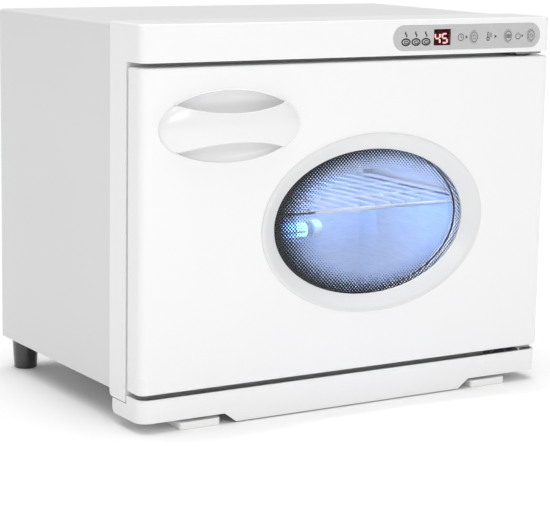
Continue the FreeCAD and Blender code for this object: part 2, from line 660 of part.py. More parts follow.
def lamp_caps():
    """Metal end caps with two contact pins each."""
    cap = rod(LAMP_R + 0.3, V(LAMP_HALF + 0.02, LAMP_Y, LAMP_Z), V(LAMP_HALF + 7, LAMP_Y, LAMP_Z))
    for dz in (-2.4, 2.4):
        cap = cap.fuse(Part.makeCylinder(1.1, 7, V(LAMP_HALF + 6, LAMP_Y, LAMP_Z + dz), X_AXIS))
    return pair(cap)


def lamp_holders():
    """White sockets on the back wall that take the lamp's pins."""
    x0 = LAMP_HALF + 7.2
    x1 = x0 + 10
    half = 10.0
    back = CHAMBER_BACK - 0.02
    block = box(x0, x1, LAMP_Y, back, LAMP_Z - half, LAMP_Z + half)
    block = block.fuse(rod(half, V(x0, LAMP_Y, LAMP_Z), V(x1, LAMP_Y, LAMP_Z)))
    for dz in (-2.4, 2.4):
        block = block.cut(rod(1.15, V(x0 - 1, LAMP_Y, LAMP_Z + dz), V(x0 + 6, LAMP_Y, LAMP_Z + dz)))
    return pair(block.removeSplitter())


def lamp_guard():
    """Wire cage in front of the lamp: hoops fixed to the back wall and three long wires."""
    r = 1.2
    reach = LAMP_R + 5.0
    back = CHAMBER_BACK - 0.05
    pieces = []
    for i in range(5):
        x = -88 + i * 44.0
        for side in (-1, 1):
            pieces.append(rod(r, V(x, LAMP_Y, LAMP_Z + side * reach), V(x, back, LAMP_Z + side * reach)))
        hoop = Part.makeTorus(reach, r, V(x, LAMP_Y, LAMP_Z), X_AXIS)
        pieces.append(hoop.common(box(x - 5, x + 5, LAMP_Y - 20, LAMP_Y, LAMP_Z - 20, LAMP_Z + 20)))
    for angle in (-60, 0, 60):
        a = math.radians(angle)
        y = LAMP_Y - reach * math.cos(a)
        z = LAMP_Z + reach * math.sin(a)
        pieces.append(rod(r * 0.8, V(-100, y, z), V(100, y, z)))
    return pieces[0].multiFuse(pieces[1:])


def lamp_ballast():
    """Electronic ballast of the lamp, in the space above the jacket."""
    case = box(-170, -80, 120, 160, JACKET_TOP + 0.2, JACKET_TOP + 24)
    case = case.makeFillet(2.0, edges_at(case, lambda p: abs(p.z - JACKET_TOP - 24) < 0.01))
    return case


# ---- controls ---------------------------------------------------------------------------
def control_panel():
    """Silver label plate with openings for the display and the buttons."""
    plate = panel_pill(0.0, -PANEL_PROUD, PANEL_SUNK)
    plate = plate.cut(box(SCREEN_X0, SCREEN_X1, -2, 2, SCREEN_Z0, SCREEN_Z1))
    for x in BUTTON_XS.values():
        plate = plate.cut(ellipse_plate(x, BUTTON_Z, BUTTON_A + 0.3, BUTTON_B + 0.3, -2, 2))
    return plate


def display_window():
    """Smoked pane over the digits, flush with the panel."""
    pane = box(SCREEN_X0 + 0.1, SCREEN_X1 - 0.1, -0.1, 1.5, SCREEN_Z0 + 0.1, SCREEN_Z1 - 0.1)
    rim = box(SCREEN_X0 - 1.5, SCREEN_X1 + 1.5, WALL + 0.05, WALL + 0.8, SCREEN_Z0 - 1.5, SCREEN_Z1 + 1.5)
    neck = box(SCREEN_X0 + 0.1, SCREEN_X1 - 0.1, 1.0, WALL + 0.5, SCREEN_Z0 + 0.1, SCREEN_Z1 - 0.1)
    hollow = box(SCREEN_X0 + 1.2, SCREEN_X1 - 1.2, 1.5, WALL + 1, SCREEN_Z0 + 1.2, SCREEN_Z1 - 1.2)
    return pane.fuse(neck).fuse(rim).cut(hollow).removeSplitter()


def digit(text, cx, cz, y0, y1):
    """One seven-segment figure, lit segments only."""
    w, h, t = DIGIT_W / 2, DIGIT_H / 2, SEG_T / 2
    gap = 0.15
    bars = {
        "a": (-w + t + gap, w - t - gap, h - 2 * t, h),
        "g": (-w + t + gap, w - t - gap, -t, t),
        "d": (-w + t + gap, w - t - gap, -h, -h + 2 * t),
        "f": (-w - t, -w + t, t + gap, h - t - gap),
        "b": (w - t, w + t, t + gap, h - t - gap),
        "e": (-w - t, -w + t, -h + t + gap, -t - gap),
        "c": (w - t, w + t, -h + t + gap, -t - gap),
    }
    solids = []
    for key in SEGMENTS[text]:
        x0, x1, z0, z1 = bars[key]
        solids.append(box(cx + x0, cx + x1, y0, y1, cz + z0, cz + z1))
    return solids


def display_digits():
    mid_x = (SCREEN_X0 + SCREEN_X1) / 2
    mid_z = (SCREEN_Z0 + SCREEN_Z1) / 2 - DIGIT_DROP
    solids = digit("4", mid_x - 3.6, mid_z, 2.2, 2.8) + digit("5", mid_x + 4.8, mid_z, 2.2, 2.8)
    return Part.makeCompound(solids)


def display_module():
    """Body of the two-digit display on the control board."""
    return box(SCREEN_X0 + 1.4, SCREEN_X1 - 1.4, 2.85, BOARD_Y - 0.02, SCREEN_Z0 + 1.4, SCREEN_Z1 - 1.4)


def push_button(x):
    """Oval key cap with a retaining flange behind the fascia and a stem to its switch."""
    cap = ellipse_plate(x, BUTTON_Z, BUTTON_A, BUTTON_B, -BUTTON_PROUD, WALL + 0.8)
    rim = edges_at(cap, lambda p: abs(p.y + BUTTON_PROUD) < 0.01)
    cap = cap.makeFillet(0.35, rim)
    flange = ellipse_plate(x, BUTTON_Z, BUTTON_A + 1.4, BUTTON_B + 1.4, WALL + 0.1, WALL + 0.8)
    tip = SWITCH_TOP - BUTTON_TRAVEL - BUTTON_CLEAR
    stem = rod(1.6, V(x, WALL + 0.5, BUTTON_Z), V(x, tip, BUTTON_Z))
    return cap.fuse(flange).fuse(stem)


def tact_switches():
    """One small switch on the board behind each button."""
    switches = []
    for x in BUTTON_XS.values():
        body = box(x - 3, x + 3, BOARD_Y - 2.6, BOARD_Y - 0.02, BUTTON_Z - 3, BUTTON_Z + 3)
        plunger = rod(1.5, V(x, SWITCH_TOP, BUTTON_Z), V(x, BOARD_Y - 2.6, BUTTON_Z))
        switches.append(body.fuse(plunger))
    return Part.makeCompound(switches)


def control_board():
    """Circuit board behind the control panel."""
    board = box(58, 216, BOARD_Y, BOARD_Y + 1.6, HEADER_BOTTOM + WALL + 1, HEIGHT - WALL - 1)
    for x in (64.0, 210.0):
        board = board.cut(rod(1.6, V(x, BOARD_Y - 1, 352), V(x, BOARD_Y + 3, 352)))
    parts = [(70, 78, 6.0), (114, 122, 9.0), (150, 164, 5.0), (186, 192, 7.0)]
    for x0, x1, tall in parts:
        board = board.fuse(box(x0, x1, BOARD_Y + 1.5, BOARD_Y + 1.6 + tall, 338, 350))
    return board


def power_board():
    """Relay and transformer board on spacers in the top compartment, with a terminal block."""
    z = JACKET_TOP + 5
    top = z + 1.5
    board = box(20, 150, 198, 278, z, z + 1.6)
    for x in (26.0, 144.0):
        for y in (204.0, 272.0):
            board = board.fuse(rod(2.5, V(x, y, JACKET_TOP + 0.2), V(x, y, z + 0.5)))
    transformer = box(32, 66, 210, 244, top, z + 22)
    terminals = box(130, 150, 262, 277.5, top, z + 13)
    board = board.fuse(transformer).fuse(terminals)
    for x in (80.0, 108.0):
        relay = box(x, x + 20, 208, 224, top, z + 17)
        capacitor = rod(6, V(x + 4, 254, top), V(x + 4, 254, z + 18))
        board = board.fuse(relay).fuse(capacitor)
    return board.removeSplitter()


# ---- mains inlet ------------------------------------------------------------------------
def mains_inlet():
    """Recessed three-pin appliance inlet in the back panel."""
    flange_w, flange_h = 15.5, 27.0
    flange = box(INLET_X - flange_w, INLET_X + flange_w - 0.5, DEPTH + 0.05, DEPTH + SCREW_HEAD_H,
                 INLET_Z - flange_h, INLET_Z + flange_h)
    flange = flange.makeFillet(3.0, [e for e in flange.Edges
                                     if abs(e.Vertexes[0].Z - e.Vertexes[1].Z) < 0.01
                                     and abs(e.Vertexes[0].X - e.Vertexes[1].X) < 0.01])
    body = inlet_block(0.0, DEPTH - INLET_DEEP, DEPTH + 1)
    socket = inlet_block(INLET_WALL, DEPTH - SOCKET_DEEP, DEPTH + 5)
    inlet = flange.fuse(body).cut(socket).removeSplitter()
    for z in INLET_SCREW_ZS:
        inlet = inlet.cut(rod(1.6, V(INLET_X, DEPTH, z), V(INLET_X, DEPTH + 5, z)))
        inlet = inlet.cut(rod(INLET_HEAD_R + 0.1, V(INLET_X, INLET_SCREW_SEAT, z), V(INLET_X, DEPTH + 5, z)))
    for x, z in INLET_PIN_PLACES:
        inlet = inlet.cut(box(x - 1.05, x + 1.05, DEPTH - 30, DEPTH - 10, z - 2.05, z + 2.05))
    return inlet


def inlet_pins():
    """Brass contact blades, with solder tails behind."""
    pins = []
    for x, z in INLET_PIN_PLACES:
        pins.append(box(x - 1, x + 1, DEPTH - 30, DEPTH - 4, z - 2, z + 2))
    return Part.makeCompound(pins)


def inlet_screws():
    screws = []
    for z in INLET_SCREW_ZS:
        screws.append(pan_screw(V(INLET_X, INLET_SCREW_SEAT, z), V(0, -1, 0), 2.5, INLET_HEAD_R, 1.5, 1.6))
    return Part.makeCompound(screws)


def rear_panel_screws():
    return Part.makeCompound([pan_screw(V(x, DEPTH, z), V(0, -1, 0), 5.0) for x, z in REAR_SCREW_PLACES])


# ---- door -------------------------------------------------------------------------------
def hinge_boss(z0, z1):
    return box(HINGE_X - 9, HALF_W, 0, DOOR_THICK, z0, z1)


def door_shell():
    """White moulded front of the door, open at the back."""
    outer = upright_rounded(-HALF_W, HALF_W, 0, DOOR_THICK, DOOR_BOTTOM, DOOR_TOP,
                            FRONT_CORNER, DOOR_BACK_EDGE, FRONT_CORNER)
    rims = edges_at(outer, lambda p: abs(p.y) < 0.01 and (abs(p.z - DOOR_BOTTOM) < 0.01
                                                          or abs(p.z - DOOR_TOP) < 0.01))
    outer = outer.makeFillet(2.0, rims)
    inner = upright_rounded(-HALF_W + DOOR_SKIN, HALF_W - DOOR_SKIN, DOOR_SKIN, DOOR_THICK - DOOR_SKIN,
                            DOOR_BOTTOM + DOOR_SKIN, DOOR_TOP - DOOR_SKIN,
                            FRONT_CORNER - DOOR_SKIN, 0.0, FRONT_CORNER - DOOR_SKIN)
    for z0, z1 in ((DOOR_BOTTOM, DOOR_BOTTOM + 17), (DOOR_TOP - 17, DOOR_TOP)):
        inner = inner.cut(hinge_boss(z0, z1))
    shell = outer.cut(inner)
    shell = shell.cut(box(-DOOR_LIP_X, DOOR_LIP_X, DOOR_THICK - DOOR_SKIN - 0.1, DOOR_THICK + 1,
                          DOOR_BOTTOM + DOOR_LIP_Z, DOOR_TOP - DOOR_LIP_Z))
    shell = shell.cut(ellipse_plate(WIN_X, WIN_Z, NECK_A + 0.2, NECK_B + 0.2, -1, DOOR_SKIN + 0.1))
    shell = shell.cut(ellipse_plate(GRIP_X, GRIP_Z, DISH_A + HANDLE_WALL + 0.1,
                                    DISH_B + HANDLE_WALL + 0.1, -1, DOOR_SKIN + 0.1))
    for z, way in ((DOOR_BOTTOM, 1), (DOOR_TOP, -1)):
        mouth = V(HINGE_X, HINGE_Y, z - way)
        shell = shell.cut(Part.makeCylinder(BUSH_R, BUSH_DEPTH + 1, mouth, V(0, 0, way)))
    boss_end = PANEL_BACK - PANEL_SHEET - 0.05
    for x, z in DOOR_SCREW_PLACES:
        shell = shell.fuse(rod(DOOR_BOSS_R, V(x, DOOR_SKIN - 0.5, z), V(x, boss_end, z)))
        shell = shell.cut(rod(DOOR_SCREW_R, V(x, DOOR_THICK - 12, z), V(x, DOOR_THICK, z)))
    shell = shell.cut(strike_block(0.05))
    return shell.removeSplitter()


def strike_block(grow):
    return box(MAGNET_X - 5 - grow, MAGNET_X + 5 + grow, DOOR_THICK - 1.2 - grow, DOOR_THICK + grow,
               MAGNET_Z - 24 - grow, MAGNET_Z + 24 + grow)


def strike_plate():
    """Steel strip in the door's back edge that the magnet holds."""
    return strike_block(0.0)


def door_inner_panel():
    """Metal sheet that closes the back of the door, with the window's inner opening."""
    edge = DOOR_LIP_X - 0.2
    panel = box(-edge, edge, PANEL_BACK - PANEL_SHEET, PANEL_BACK,
                DOOR_BOTTOM + DOOR_LIP_Z + 0.2, DOOR_TOP - DOOR_LIP_Z - 0.2)
    panel = panel.cut(ellipse_plate(WIN_X, WIN_Z, SIGHT_A + 1.5, SIGHT_B + 1.5, 0, DOOR_THICK + 1))
    for x, z in DOOR_SCREW_PLACES:
        panel = panel.cut(rod(DOOR_SCREW_R, V(x, 0, z), V(x, DOOR_THICK + 1, z)))
    return panel


def door_insulation():
    """Foam between the door's two skins, cut round the window and the handle."""
    y0, y1 = DOOR_SKIN + 0.2, INNER_PANE_Y + INNER_PANE_THICK
    foam = box(-HALF_W + DOOR_SKIN + 5.5, HINGE_X - 10, y0, y1, DOOR_BOTTOM + DOOR_SKIN + 2,
               DOOR_TOP - DOOR_SKIN - 2)
    foam = foam.cut(ellipse_plate(WIN_X, WIN_Z, NECK_A + 1.5, NECK_B + 1.5, 0, DOOR_THICK))
    foam = foam.cut(ellipse_plate(GRIP_X, GRIP_Z, DISH_A + HANDLE_WALL + 1, DISH_B + HANDLE_WALL + 1,
                                  0, DOOR_THICK))
    for x, z in DOOR_SCREW_PLACES:
        foam = foam.cut(rod(DOOR_BOSS_R + 0.8, V(x, 0, z), V(x, DOOR_THICK, z)))
    return foam


def window_bezel():
    """Oval ring that funnels inwards to the glass, with a rebate behind for the pane."""
    lip = ellipse_plate(WIN_X, WIN_Z, BEZEL_A, BEZEL_B, -BEZEL_PROUD, 0)
    lip = lip.makeFillet(BEZEL_PROUD * 0.8, edges_at(lip, lambda p: abs(p.y + BEZEL_PROUD) < 0.01))
    neck = ellipse_plate(WIN_X, WIN_Z, NECK_A, NECK_B, -0.2, PANE_FRONT + PANE_THICK)
    ring = lip.fuse(neck)
    ring = ring.cut(ellipse_cone(WIN_X, WIN_Z, BEZEL_A - 1.6, BEZEL_B - 1.6, -BEZEL_PROUD - 0.05,
                                 SIGHT_A, SIGHT_B, PANE_FRONT - 1.0))
    ring = ring.cut(ellipse_plate(WIN_X, WIN_Z, SIGHT_A, SIGHT_B, 0, PANE_FRONT + 1))
    ring = ring.cut(ellipse_plate(WIN_X, WIN_Z, PANE_A + 0.1, PANE_B + 0.1,
                                  PANE_FRONT - 0.02, PANE_FRONT + PANE_THICK + 1))
    return ring


def outer_pane():
    return ellipse_plate(WIN_X, WIN_Z, PANE_A, PANE_B, PANE_FRONT, PANE_FRONT + PANE_THICK)


def inner_pane():
    return ellipse_plate(WIN_X, WIN_Z, PANE_A, PANE_B, INNER_PANE_Y, INNER_PANE_Y + INNER_PANE_THICK)


def window_spacer():
    """Oval band that holds the two panes apart and seals the space between them."""
    y0 = PANE_FRONT + PANE_THICK + 0.05
    y1 = INNER_PANE_Y - 0.05
    band = ellipse_plate(WIN_X, WIN_Z, PANE_A, PANE_B, y0, y1)
    return band.cut(ellipse_plate(WIN_X, WIN_Z, SIGHT_A + 1.5, SIGHT_B + 1.5, y0 - 1, y1 + 1))


def handle_dish():
    """Elliptical bowl let into the door behind the grip."""
    bowl = ellipsoid(GRIP_X, GRIP_Z, DISH_A + HANDLE_WALL, DISH_DEEP + HANDLE_WALL, DISH_B + HANDLE_WALL)
    bowl = bowl.cut(ellipsoid(GRIP_X, GRIP_Z, DISH_A, DISH_DEEP, DISH_B))
    return bowl.cut(box(GRIP_X - 100, GRIP_X + 100, -60, 0, GRIP_Z - 60, GRIP_Z + 60))


def grip_edge_cutter(side):
    """Space beyond one long edge of the grip, bounded by a shallow arc."""
    bow_r = (GRIP_END_X ** 2 + GRIP_BOW ** 2) / (2 * GRIP_BOW)
    centre_z = GRIP_Z + side * (GRIP_END_Z - GRIP_BOW + bow_r)
    return rod(bow_r, V(GRIP_X, -60, centre_z), V(GRIP_X, 60, centre_z))


def handle_grip():
    """Bulging bar across the dish; fingers go behind it from above or below."""
    foot = HANDLE_WALL - 0.3
    outer = ellipsoid(GRIP_X, GRIP_Z, DISH_A + foot, GRIP_BULGE, DISH_B + foot)
    inner = ellipsoid(GRIP_X, GRIP_Z, DISH_A + foot - GRIP_WALL, GRIP_BULGE - GRIP_WALL,
                      DISH_B + foot - GRIP_WALL)
    bar = outer.cut(inner)
    bar = bar.cut(box(GRIP_X - 100, GRIP_X + 100, 0, 60, GRIP_Z - 60, GRIP_Z + 60))
    for side in (-1, 1):
        bar = bar.cut(grip_edge_cutter(side))
    return bar


def door_seal():
    """Flexible gasket on the door's inner sheet, all round the chamber mouth."""
    y0 = PANEL_BACK + 0.02
    y1 = FRAME_FACE - 0.3
    inner_x = SEAL_HALF_W - SEAL_BAND
    outer = box(-SEAL_HALF_W, SEAL_HALF_W, y0, y1, SEAL_BOTTOM, SEAL_TOP)
    return outer.cut(box(-inner_x, inner_x, y0 - 1, y1 + 1, SEAL_BOTTOM + SEAL_BAND, SEAL_TOP - SEAL_BAND))


def door_screws():
    """Screws that hold the inner sheet to the shell's bosses."""
    screws = []
    for x, z in DOOR_SCREW_PLACES:
        screws.append(pan_screw(V(x, PANEL_BACK, z), V(0, -1, 0), 9.0, 3.0, 1.4, DOOR_SCREW_R))
    return Part.makeCompound(screws)


# ---- hinge ------------------------------------------------------------------------------
def top_hinge_bracket():
    """Steel plate under the header that carries the upper pin."""
    z = TOP_BRACKET_Z
    plate = upright_rounded(TOP_BRACKET_X0, BRACKET_X1, 6, FRAME_FACE - 0.2, z, z + BRACKET_THICK, 3.0)
    plate = plate.cut(rod(PIN_R, V(HINGE_X, HINGE_Y, z - 1), V(HINGE_X, HINGE_Y, z + 5)))
    for x in TOP_SCREW_XS:
        plate = plate.cut(rod(SCREW_R, V(x, TOP_SCREW_Y, z - 1), V(x, TOP_SCREW_Y, z + 5)))
    return plate


def bottom_hinge_bracket():
    """Steel angle on the frame below the mouth that carries the lower pin."""
    z1 = BOTTOM_BRACKET_Z
    z0 = z1 - BRACKET_THICK
    y1 = FRAME_FACE - BRACKET_GAP
    plate = upright_rounded(BOTTOM_BRACKET_X0, BRACKET_X1, 6, y1, z0, z1, 3.0)
    flange = box(BOTTOM_FLANGE_X0, BRACKET_X1, y1 - BRACKET_THICK, y1, FRAME_BOTTOM + 0.3, z1)
    plate = plate.fuse(flange).removeSplitter()
    plate = plate.cut(rod(PIN_R, V(HINGE_X, HINGE_Y, z0 - 1), V(HINGE_X, HINGE_Y, z1 + 1)))
    for x in BOTTOM_SCREW_XS:
        plate = plate.cut(rod(SCREW_R, V(x, 20, BOTTOM_SCREW_Z), V(x, 30, BOTTOM_SCREW_Z)))
    return plate


def bottom_hinge_pin():
    """Plain pin riveted in the lower bracket, pointing up."""
    start = BOTTOM_BRACKET_Z - BRACKET_THICK
    return rod(PIN_R, V(HINGE_X, HINGE_Y, start), V(HINGE_X, HINGE_Y, DOOR_BOTTOM + PIN_REACH))


def top_hinge_pin():
    """Plain pin riveted in the upper bracket, pointing down."""
    end = TOP_BRACKET_Z + BRACKET_THICK
    return rod(PIN_R, V(HINGE_X, HINGE_Y, DOOR_TOP - PIN_REACH), V(HINGE_X, HINGE_Y, end))


def door_bush(z, way):
    """A nylon sleeve in one of the door's hinge corners, with a thrust collar outside."""
    def on_axis(height):
        return V(HINGE_X, HINGE_Y, z + way * height)

    sleeve = rod(BUSH_R - 0.02, on_axis(-1.0), on_axis(BUSH_DEPTH - 0.1))
    collar = rod(BUSH_R + 2, on_axis(-1.0), on_axis(-0.02))
    bush = sleeve.fuse(collar).cut(rod(BUSH_BORE, on_axis(-2), on_axis(20)))
    return bush.removeSplitter()


def door_bushes():
    return Part.makeCompound([door_bush(DOOR_BOTTOM, 1), door_bush(DOOR_TOP, -1)])


def hinge_screws():
    screws = []
    for x in TOP_SCREW_XS:
        screws.append(pan_screw(V(x, TOP_SCREW_Y, TOP_BRACKET_Z), Z_AXIS, 5.5, 3.2, 1.2, HINGE_SCREW_R))
    face = FRAME_FACE - BRACKET_GAP - BRACKET_THICK
    for x in BOTTOM_SCREW_XS:
        screws.append(pan_screw(V(x, face, BOTTOM_SCREW_Z), Y_AXIS, 7.0, 3.2, 1.4, HINGE_SCREW_R))
    return Part.makeCompound(screws)


# ---- wiring -----------------------------------------------------------------------------
def wiring_loom():
    """Mains lead inside the case: from the inlet up the right-hand side to the power board."""
    cx = LOOM_X - LOOM_BEND
    y = LOOM_Y
    top = JACKET_TOP + 12.0
    low = INLET_Z + LOOM_BEND
    high = top - LOOM_BEND
    lower = Part.makeTorus(LOOM_BEND, LOOM_R, V(cx, y, low), Y_AXIS)
    lower = lower.common(box(cx, cx + 20, y - 5, y + 5, low - 20, low))
    upper = Part.makeTorus(LOOM_BEND, LOOM_R, V(cx, y, high), Y_AXIS)
    upper = upper.common(box(cx, cx + 20, y - 5, y + 5, high, high + 20))
    rise = rod(LOOM_R, V(LOOM_X, y, low), V(LOOM_X, y, high))
    across = rod(LOOM_R, V(150.05, y, top), V(cx, y, top))
    return lower.fuse([rise, upper, across]).removeSplitter()


# ---- write every piece ------------------------------------------------------------------
def main():
    os.makedirs("parts", exist_ok=True)
    export("outer_case", outer_case())
    export("rear_panel", rear_panel())
    export("base_plate", base_plate())
    export("front_frame", front_frame())
    export("drip_tray", drip_tray())
    export("front_feet", Part.makeCompound([front_foot(-TOE_X), front_foot(TOE_X)]))
    export("rear_feet", Part.makeCompound([rear_foot(-REAR_FOOT_X), rear_foot(REAR_FOOT_X)]))
    export("foot_screws", foot_screws())
    export("chamber_liner", chamber_liner())
    export("insulation_jacket", insulation_jacket())
    export("heat_spreader", heat_spreader())
    export("heating_element", heating_element())
    export("thermostat", disc_sensor(-45.0))
    export("thermal_cutout", disc_sensor(45.0))
    export("temperature_sensor", temperature_sensor())
    export("shelf_rails", pair(shelf_rail()))
    export("wire_shelf", wire_shelf())
    export("lamp_tube", lamp_tube())
    export("lamp_caps", lamp_caps())
    export("lamp_holders", lamp_holders())
    export("lamp_guard", lamp_guard())
    export("lamp_ballast", lamp_ballast())
    export("control_panel", control_panel())
    export("display_window", display_window())
    export("display_digits", display_digits())
    export("display_module", display_module())
    for name, x in BUTTON_XS.items():
        export(name, push_button(x))
    export("tact_switches", tact_switches())
    export("control_board", control_board())
    export("power_board", power_board())
    export("wiring_loom", wiring_loom())
    export("mains_inlet", mains_inlet())
    export("inlet_pins", inlet_pins())
    export("inlet_screws", inlet_screws())
    export("rear_panel_screws", rear_panel_screws())
    export("door_shell", door_shell())
    export("door_inner_panel", door_inner_panel())
    export("door_insulation", door_insulation())
    export("door_seal", door_seal())
    export("door_screws", door_screws())
    export("strike_plate", strike_plate())
    export("door_magnet", door_magnet())
    export("window_bezel", window_bezel())
    export("outer_pane", outer_pane())
    export("inner_pane", inner_pane())
    export("window_spacer", window_spacer())
    export("handle_dish", handle_dish())
    export("handle_grip", handle_grip())
    export("top_hinge_bracket", top_hinge_bracket())
    export("bottom_hinge_bracket", bottom_hinge_bracket())
    export("top_hinge_pin", top_hinge_pin())
    export("bottom_hinge_pin", bottom_hinge_pin())
    export("door_bushes", door_bushes())
    export("hinge_screws", hinge_screws())


main()
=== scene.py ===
import json
import math

import bmesh
import bpy
from mathutils import Matrix, Vector


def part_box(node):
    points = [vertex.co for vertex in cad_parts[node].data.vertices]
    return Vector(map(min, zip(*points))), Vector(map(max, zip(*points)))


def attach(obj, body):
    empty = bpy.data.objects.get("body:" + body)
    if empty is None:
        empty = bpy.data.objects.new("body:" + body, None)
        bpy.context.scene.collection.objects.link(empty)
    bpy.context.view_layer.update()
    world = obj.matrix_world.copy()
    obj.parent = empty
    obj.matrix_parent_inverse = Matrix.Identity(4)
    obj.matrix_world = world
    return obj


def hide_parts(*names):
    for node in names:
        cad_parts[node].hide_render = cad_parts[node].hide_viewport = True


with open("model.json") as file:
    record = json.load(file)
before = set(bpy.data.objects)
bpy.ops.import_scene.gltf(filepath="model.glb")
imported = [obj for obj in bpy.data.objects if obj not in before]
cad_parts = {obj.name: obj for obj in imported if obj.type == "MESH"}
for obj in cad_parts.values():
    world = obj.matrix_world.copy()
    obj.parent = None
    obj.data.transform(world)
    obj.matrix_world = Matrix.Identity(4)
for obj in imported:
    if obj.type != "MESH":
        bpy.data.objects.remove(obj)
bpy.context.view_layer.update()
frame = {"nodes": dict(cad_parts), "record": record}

# Looks of the hot towel cabinet. Metres, +Z up, the door faces -Y.
RECORD = frame["record"]
SLOT_OF = {part["node"]: part["material_slot"] for part in RECORD["subparts"]}
MM = 0.001


# ---- materials --------------------------------------------------------------------------
class Look:
    """A node material being put together, with short helpers for the nodes used most."""

    def __init__(self, name):
        self.name = name
        self.material = bpy.data.materials.new(name)
        self.material.use_nodes = True
        self.tree = self.material.node_tree
        self.shader = self.tree.nodes["Principled BSDF"]
        self.coords = self.tree.nodes.new("ShaderNodeTexCoord").outputs["Object"]

    def node(self, kind, **settings):
        made = self.tree.nodes.new(kind)
        for key, value in settings.items():
            setattr(made, key, value)
        return made

    def link(self, source, target):
        self.tree.links.new(source, target)

    def scaled(self, scale):
        mapping = self.node("ShaderNodeMapping")
        mapping.inputs["Scale"].default_value = scale
        self.link(self.coords, mapping.inputs["Vector"])
        return mapping.outputs["Vector"]

    def noise(self, scale, stretch=(1, 1, 1), detail=3.0, roughness=0.55):
        made = self.node("ShaderNodeTexNoise")
        made.inputs["Scale"].default_value = scale
        made.inputs["Detail"].default_value = detail
        made.inputs["Roughness"].default_value = roughness
        self.link(self.scaled(stretch), made.inputs["Vector"])
        return made.outputs["Fac"]

    def math(self, operation, a, b=None, c=None, clamp=False):
        made = self.node("ShaderNodeMath", operation=operation, use_clamp=clamp)
        for socket, value in zip(made.inputs, (a, b, c)):
            if value is None:
                continue
            if isinstance(value, (int, float)):
                socket.default_value = value
            else:
                self.link(value, socket)
        return made.outputs[0]

    def spread(self, value, low, high, from_low=0.3, from_high=0.7):
        made = self.node("ShaderNodeMapRange")
        made.inputs["From Min"].default_value = from_low
        made.inputs["From Max"].default_value = from_high
        made.inputs["To Min"].default_value = low
        made.inputs["To Max"].default_value = high
        self.link(value, made.inputs["Value"])
        return made.outputs["Result"]

    def between(self, fac, dark, light):
        made = self.node("ShaderNodeMix", data_type="RGBA")
        for index, value in ((0, fac), (6, dark), (7, light)):
            if isinstance(value, tuple):
                made.inputs[index].default_value = (*value[:3], 1.0)
            elif isinstance(value, (int, float)):
                made.inputs[index].default_value = value
            else:
                self.link(value, made.inputs[index])
        return made.outputs[2]

    def bump(self, height, distance, strength=1.0, before=None):
        made = self.node("ShaderNodeBump")
        made.inputs["Strength"].default_value = strength
        made.inputs["Distance"].default_value = distance
        self.link(height, made.inputs["Height"])
        if before is not None:
            self.link(before, made.inputs["Normal"])
        return made.outputs["Normal"]

    def set(self, **values):
        for key, value in values.items():
            socket = self.shader.inputs[key.replace("_", " ")]
            if isinstance(value, (int, float, tuple)):
                socket.default_value = value
            else:
                self.link(value, socket)


def shade(color, factor):
    return tuple(min(1.0, channel * factor) for channel in color[:3])


def surface(name, color, rough, metallic=0.0, mottle=14.0, tint=0.04, rough_spread=0.06,
            grain=900.0, grain_depth=0.02, stretch=(1, 1, 1), wave=0.0, coat=0.0):
    """A general finish: faint uneven colour, uneven gloss, and a fine grain in relief.

    mottle and grain are the scales of the two unevennesses; grain_depth and wave are in mm.
    """
    look = Look(name)
    broad = look.noise(mottle, stretch, detail=4.0)
    fine = look.noise(grain, stretch, detail=2.0)
    mixed = look.math("ADD", look.math("MULTIPLY", broad, 0.7), look.math("MULTIPLY", fine, 0.3))
    look.set(
        Base_Color=look.between(look.spread(mixed, 0.0, 1.0, 0.15, 0.85),
                                shade(color, 1 - tint), shade(color, 1 + tint / 3)),
        Roughness=look.spread(look.noise(mottle * 3.1, stretch),
                              rough - rough_spread, rough + rough_spread, 0.15, 0.85),
        Metallic=metallic,
        Coat_Weight=coat,
        Coat_Roughness=0.05,
    )
    normal = look.bump(fine, grain_depth * MM, 0.6)
    if wave:
        normal = look.bump(look.noise(22.0, detail=1.0), wave * MM, 0.5, normal)
    look.set(Normal=normal)
    return look


def brushed(name, color, rough, across, metallic=1.0, depth=0.006):
    """Metal with fine parallel rolling or brushing lines; across is the scale on each axis."""
    look = Look(name)
    lines = look.noise(60.0, across, detail=6.0, roughness=0.7)
    cloud = look.noise(18.0, detail=3.0)
    line_gloss = look.spread(lines, rough - 0.07, rough + 0.07)
    look.set(
        Base_Color=look.between(look.spread(lines, 0.0, 1.0), shade(color, 0.86), shade(color, 1.06)),
        Roughness=look.math("ADD", line_gloss, look.spread(cloud, -0.03, 0.03)),
        Metallic=metallic,
        Normal=look.bump(lines, depth * MM, 0.5),
    )
    return look


def lit(name, color, strength, rough=0.3):
    """A surface that gives light, a little unevenly along its length."""
    look = Look(name)
    uneven = look.spread(look.noise(9.0, detail=2.0), 0.9, 1.05)
    look.set(
        Base_Color=(*color, 1.0),
        Roughness=rough,
        Emission_Color=look.between(uneven, shade(color, 0.75), color),
        Emission_Strength=strength,
    )
    return look


HEAD_ON_GLOSS = 0.034       # share of light that bare glass reflects when seen straight on


def glass(name, tint, rough=0.02, body=0.004, sheen=0.3):
    """A thin pane: clear but for a mirror-like skin, with faint smears in it."""
    look = Look(name)
    smear = look.noise(30.0, (1.0, 1.0, 0.35), detail=5.0)
    edge_on = look.node("ShaderNodeLayerWeight")
    edge_on.inputs["Blend"].default_value = 0.5
    grazing = look.math("POWER", edge_on.outputs["Facing"], 5.0)
    skin = look.math("MULTIPLY_ADD", grazing, (1 - HEAD_ON_GLOSS) * sheen, HEAD_ON_GLOSS * sheen)
    look.set(
        Base_Color=(*tint, 1.0),
        Metallic=0.9,
        Roughness=look.spread(smear, rough, rough + 0.05),
        Alpha=look.math("ADD", skin, look.spread(smear, body * 0.6, body), clamp=True),
    )
    return look


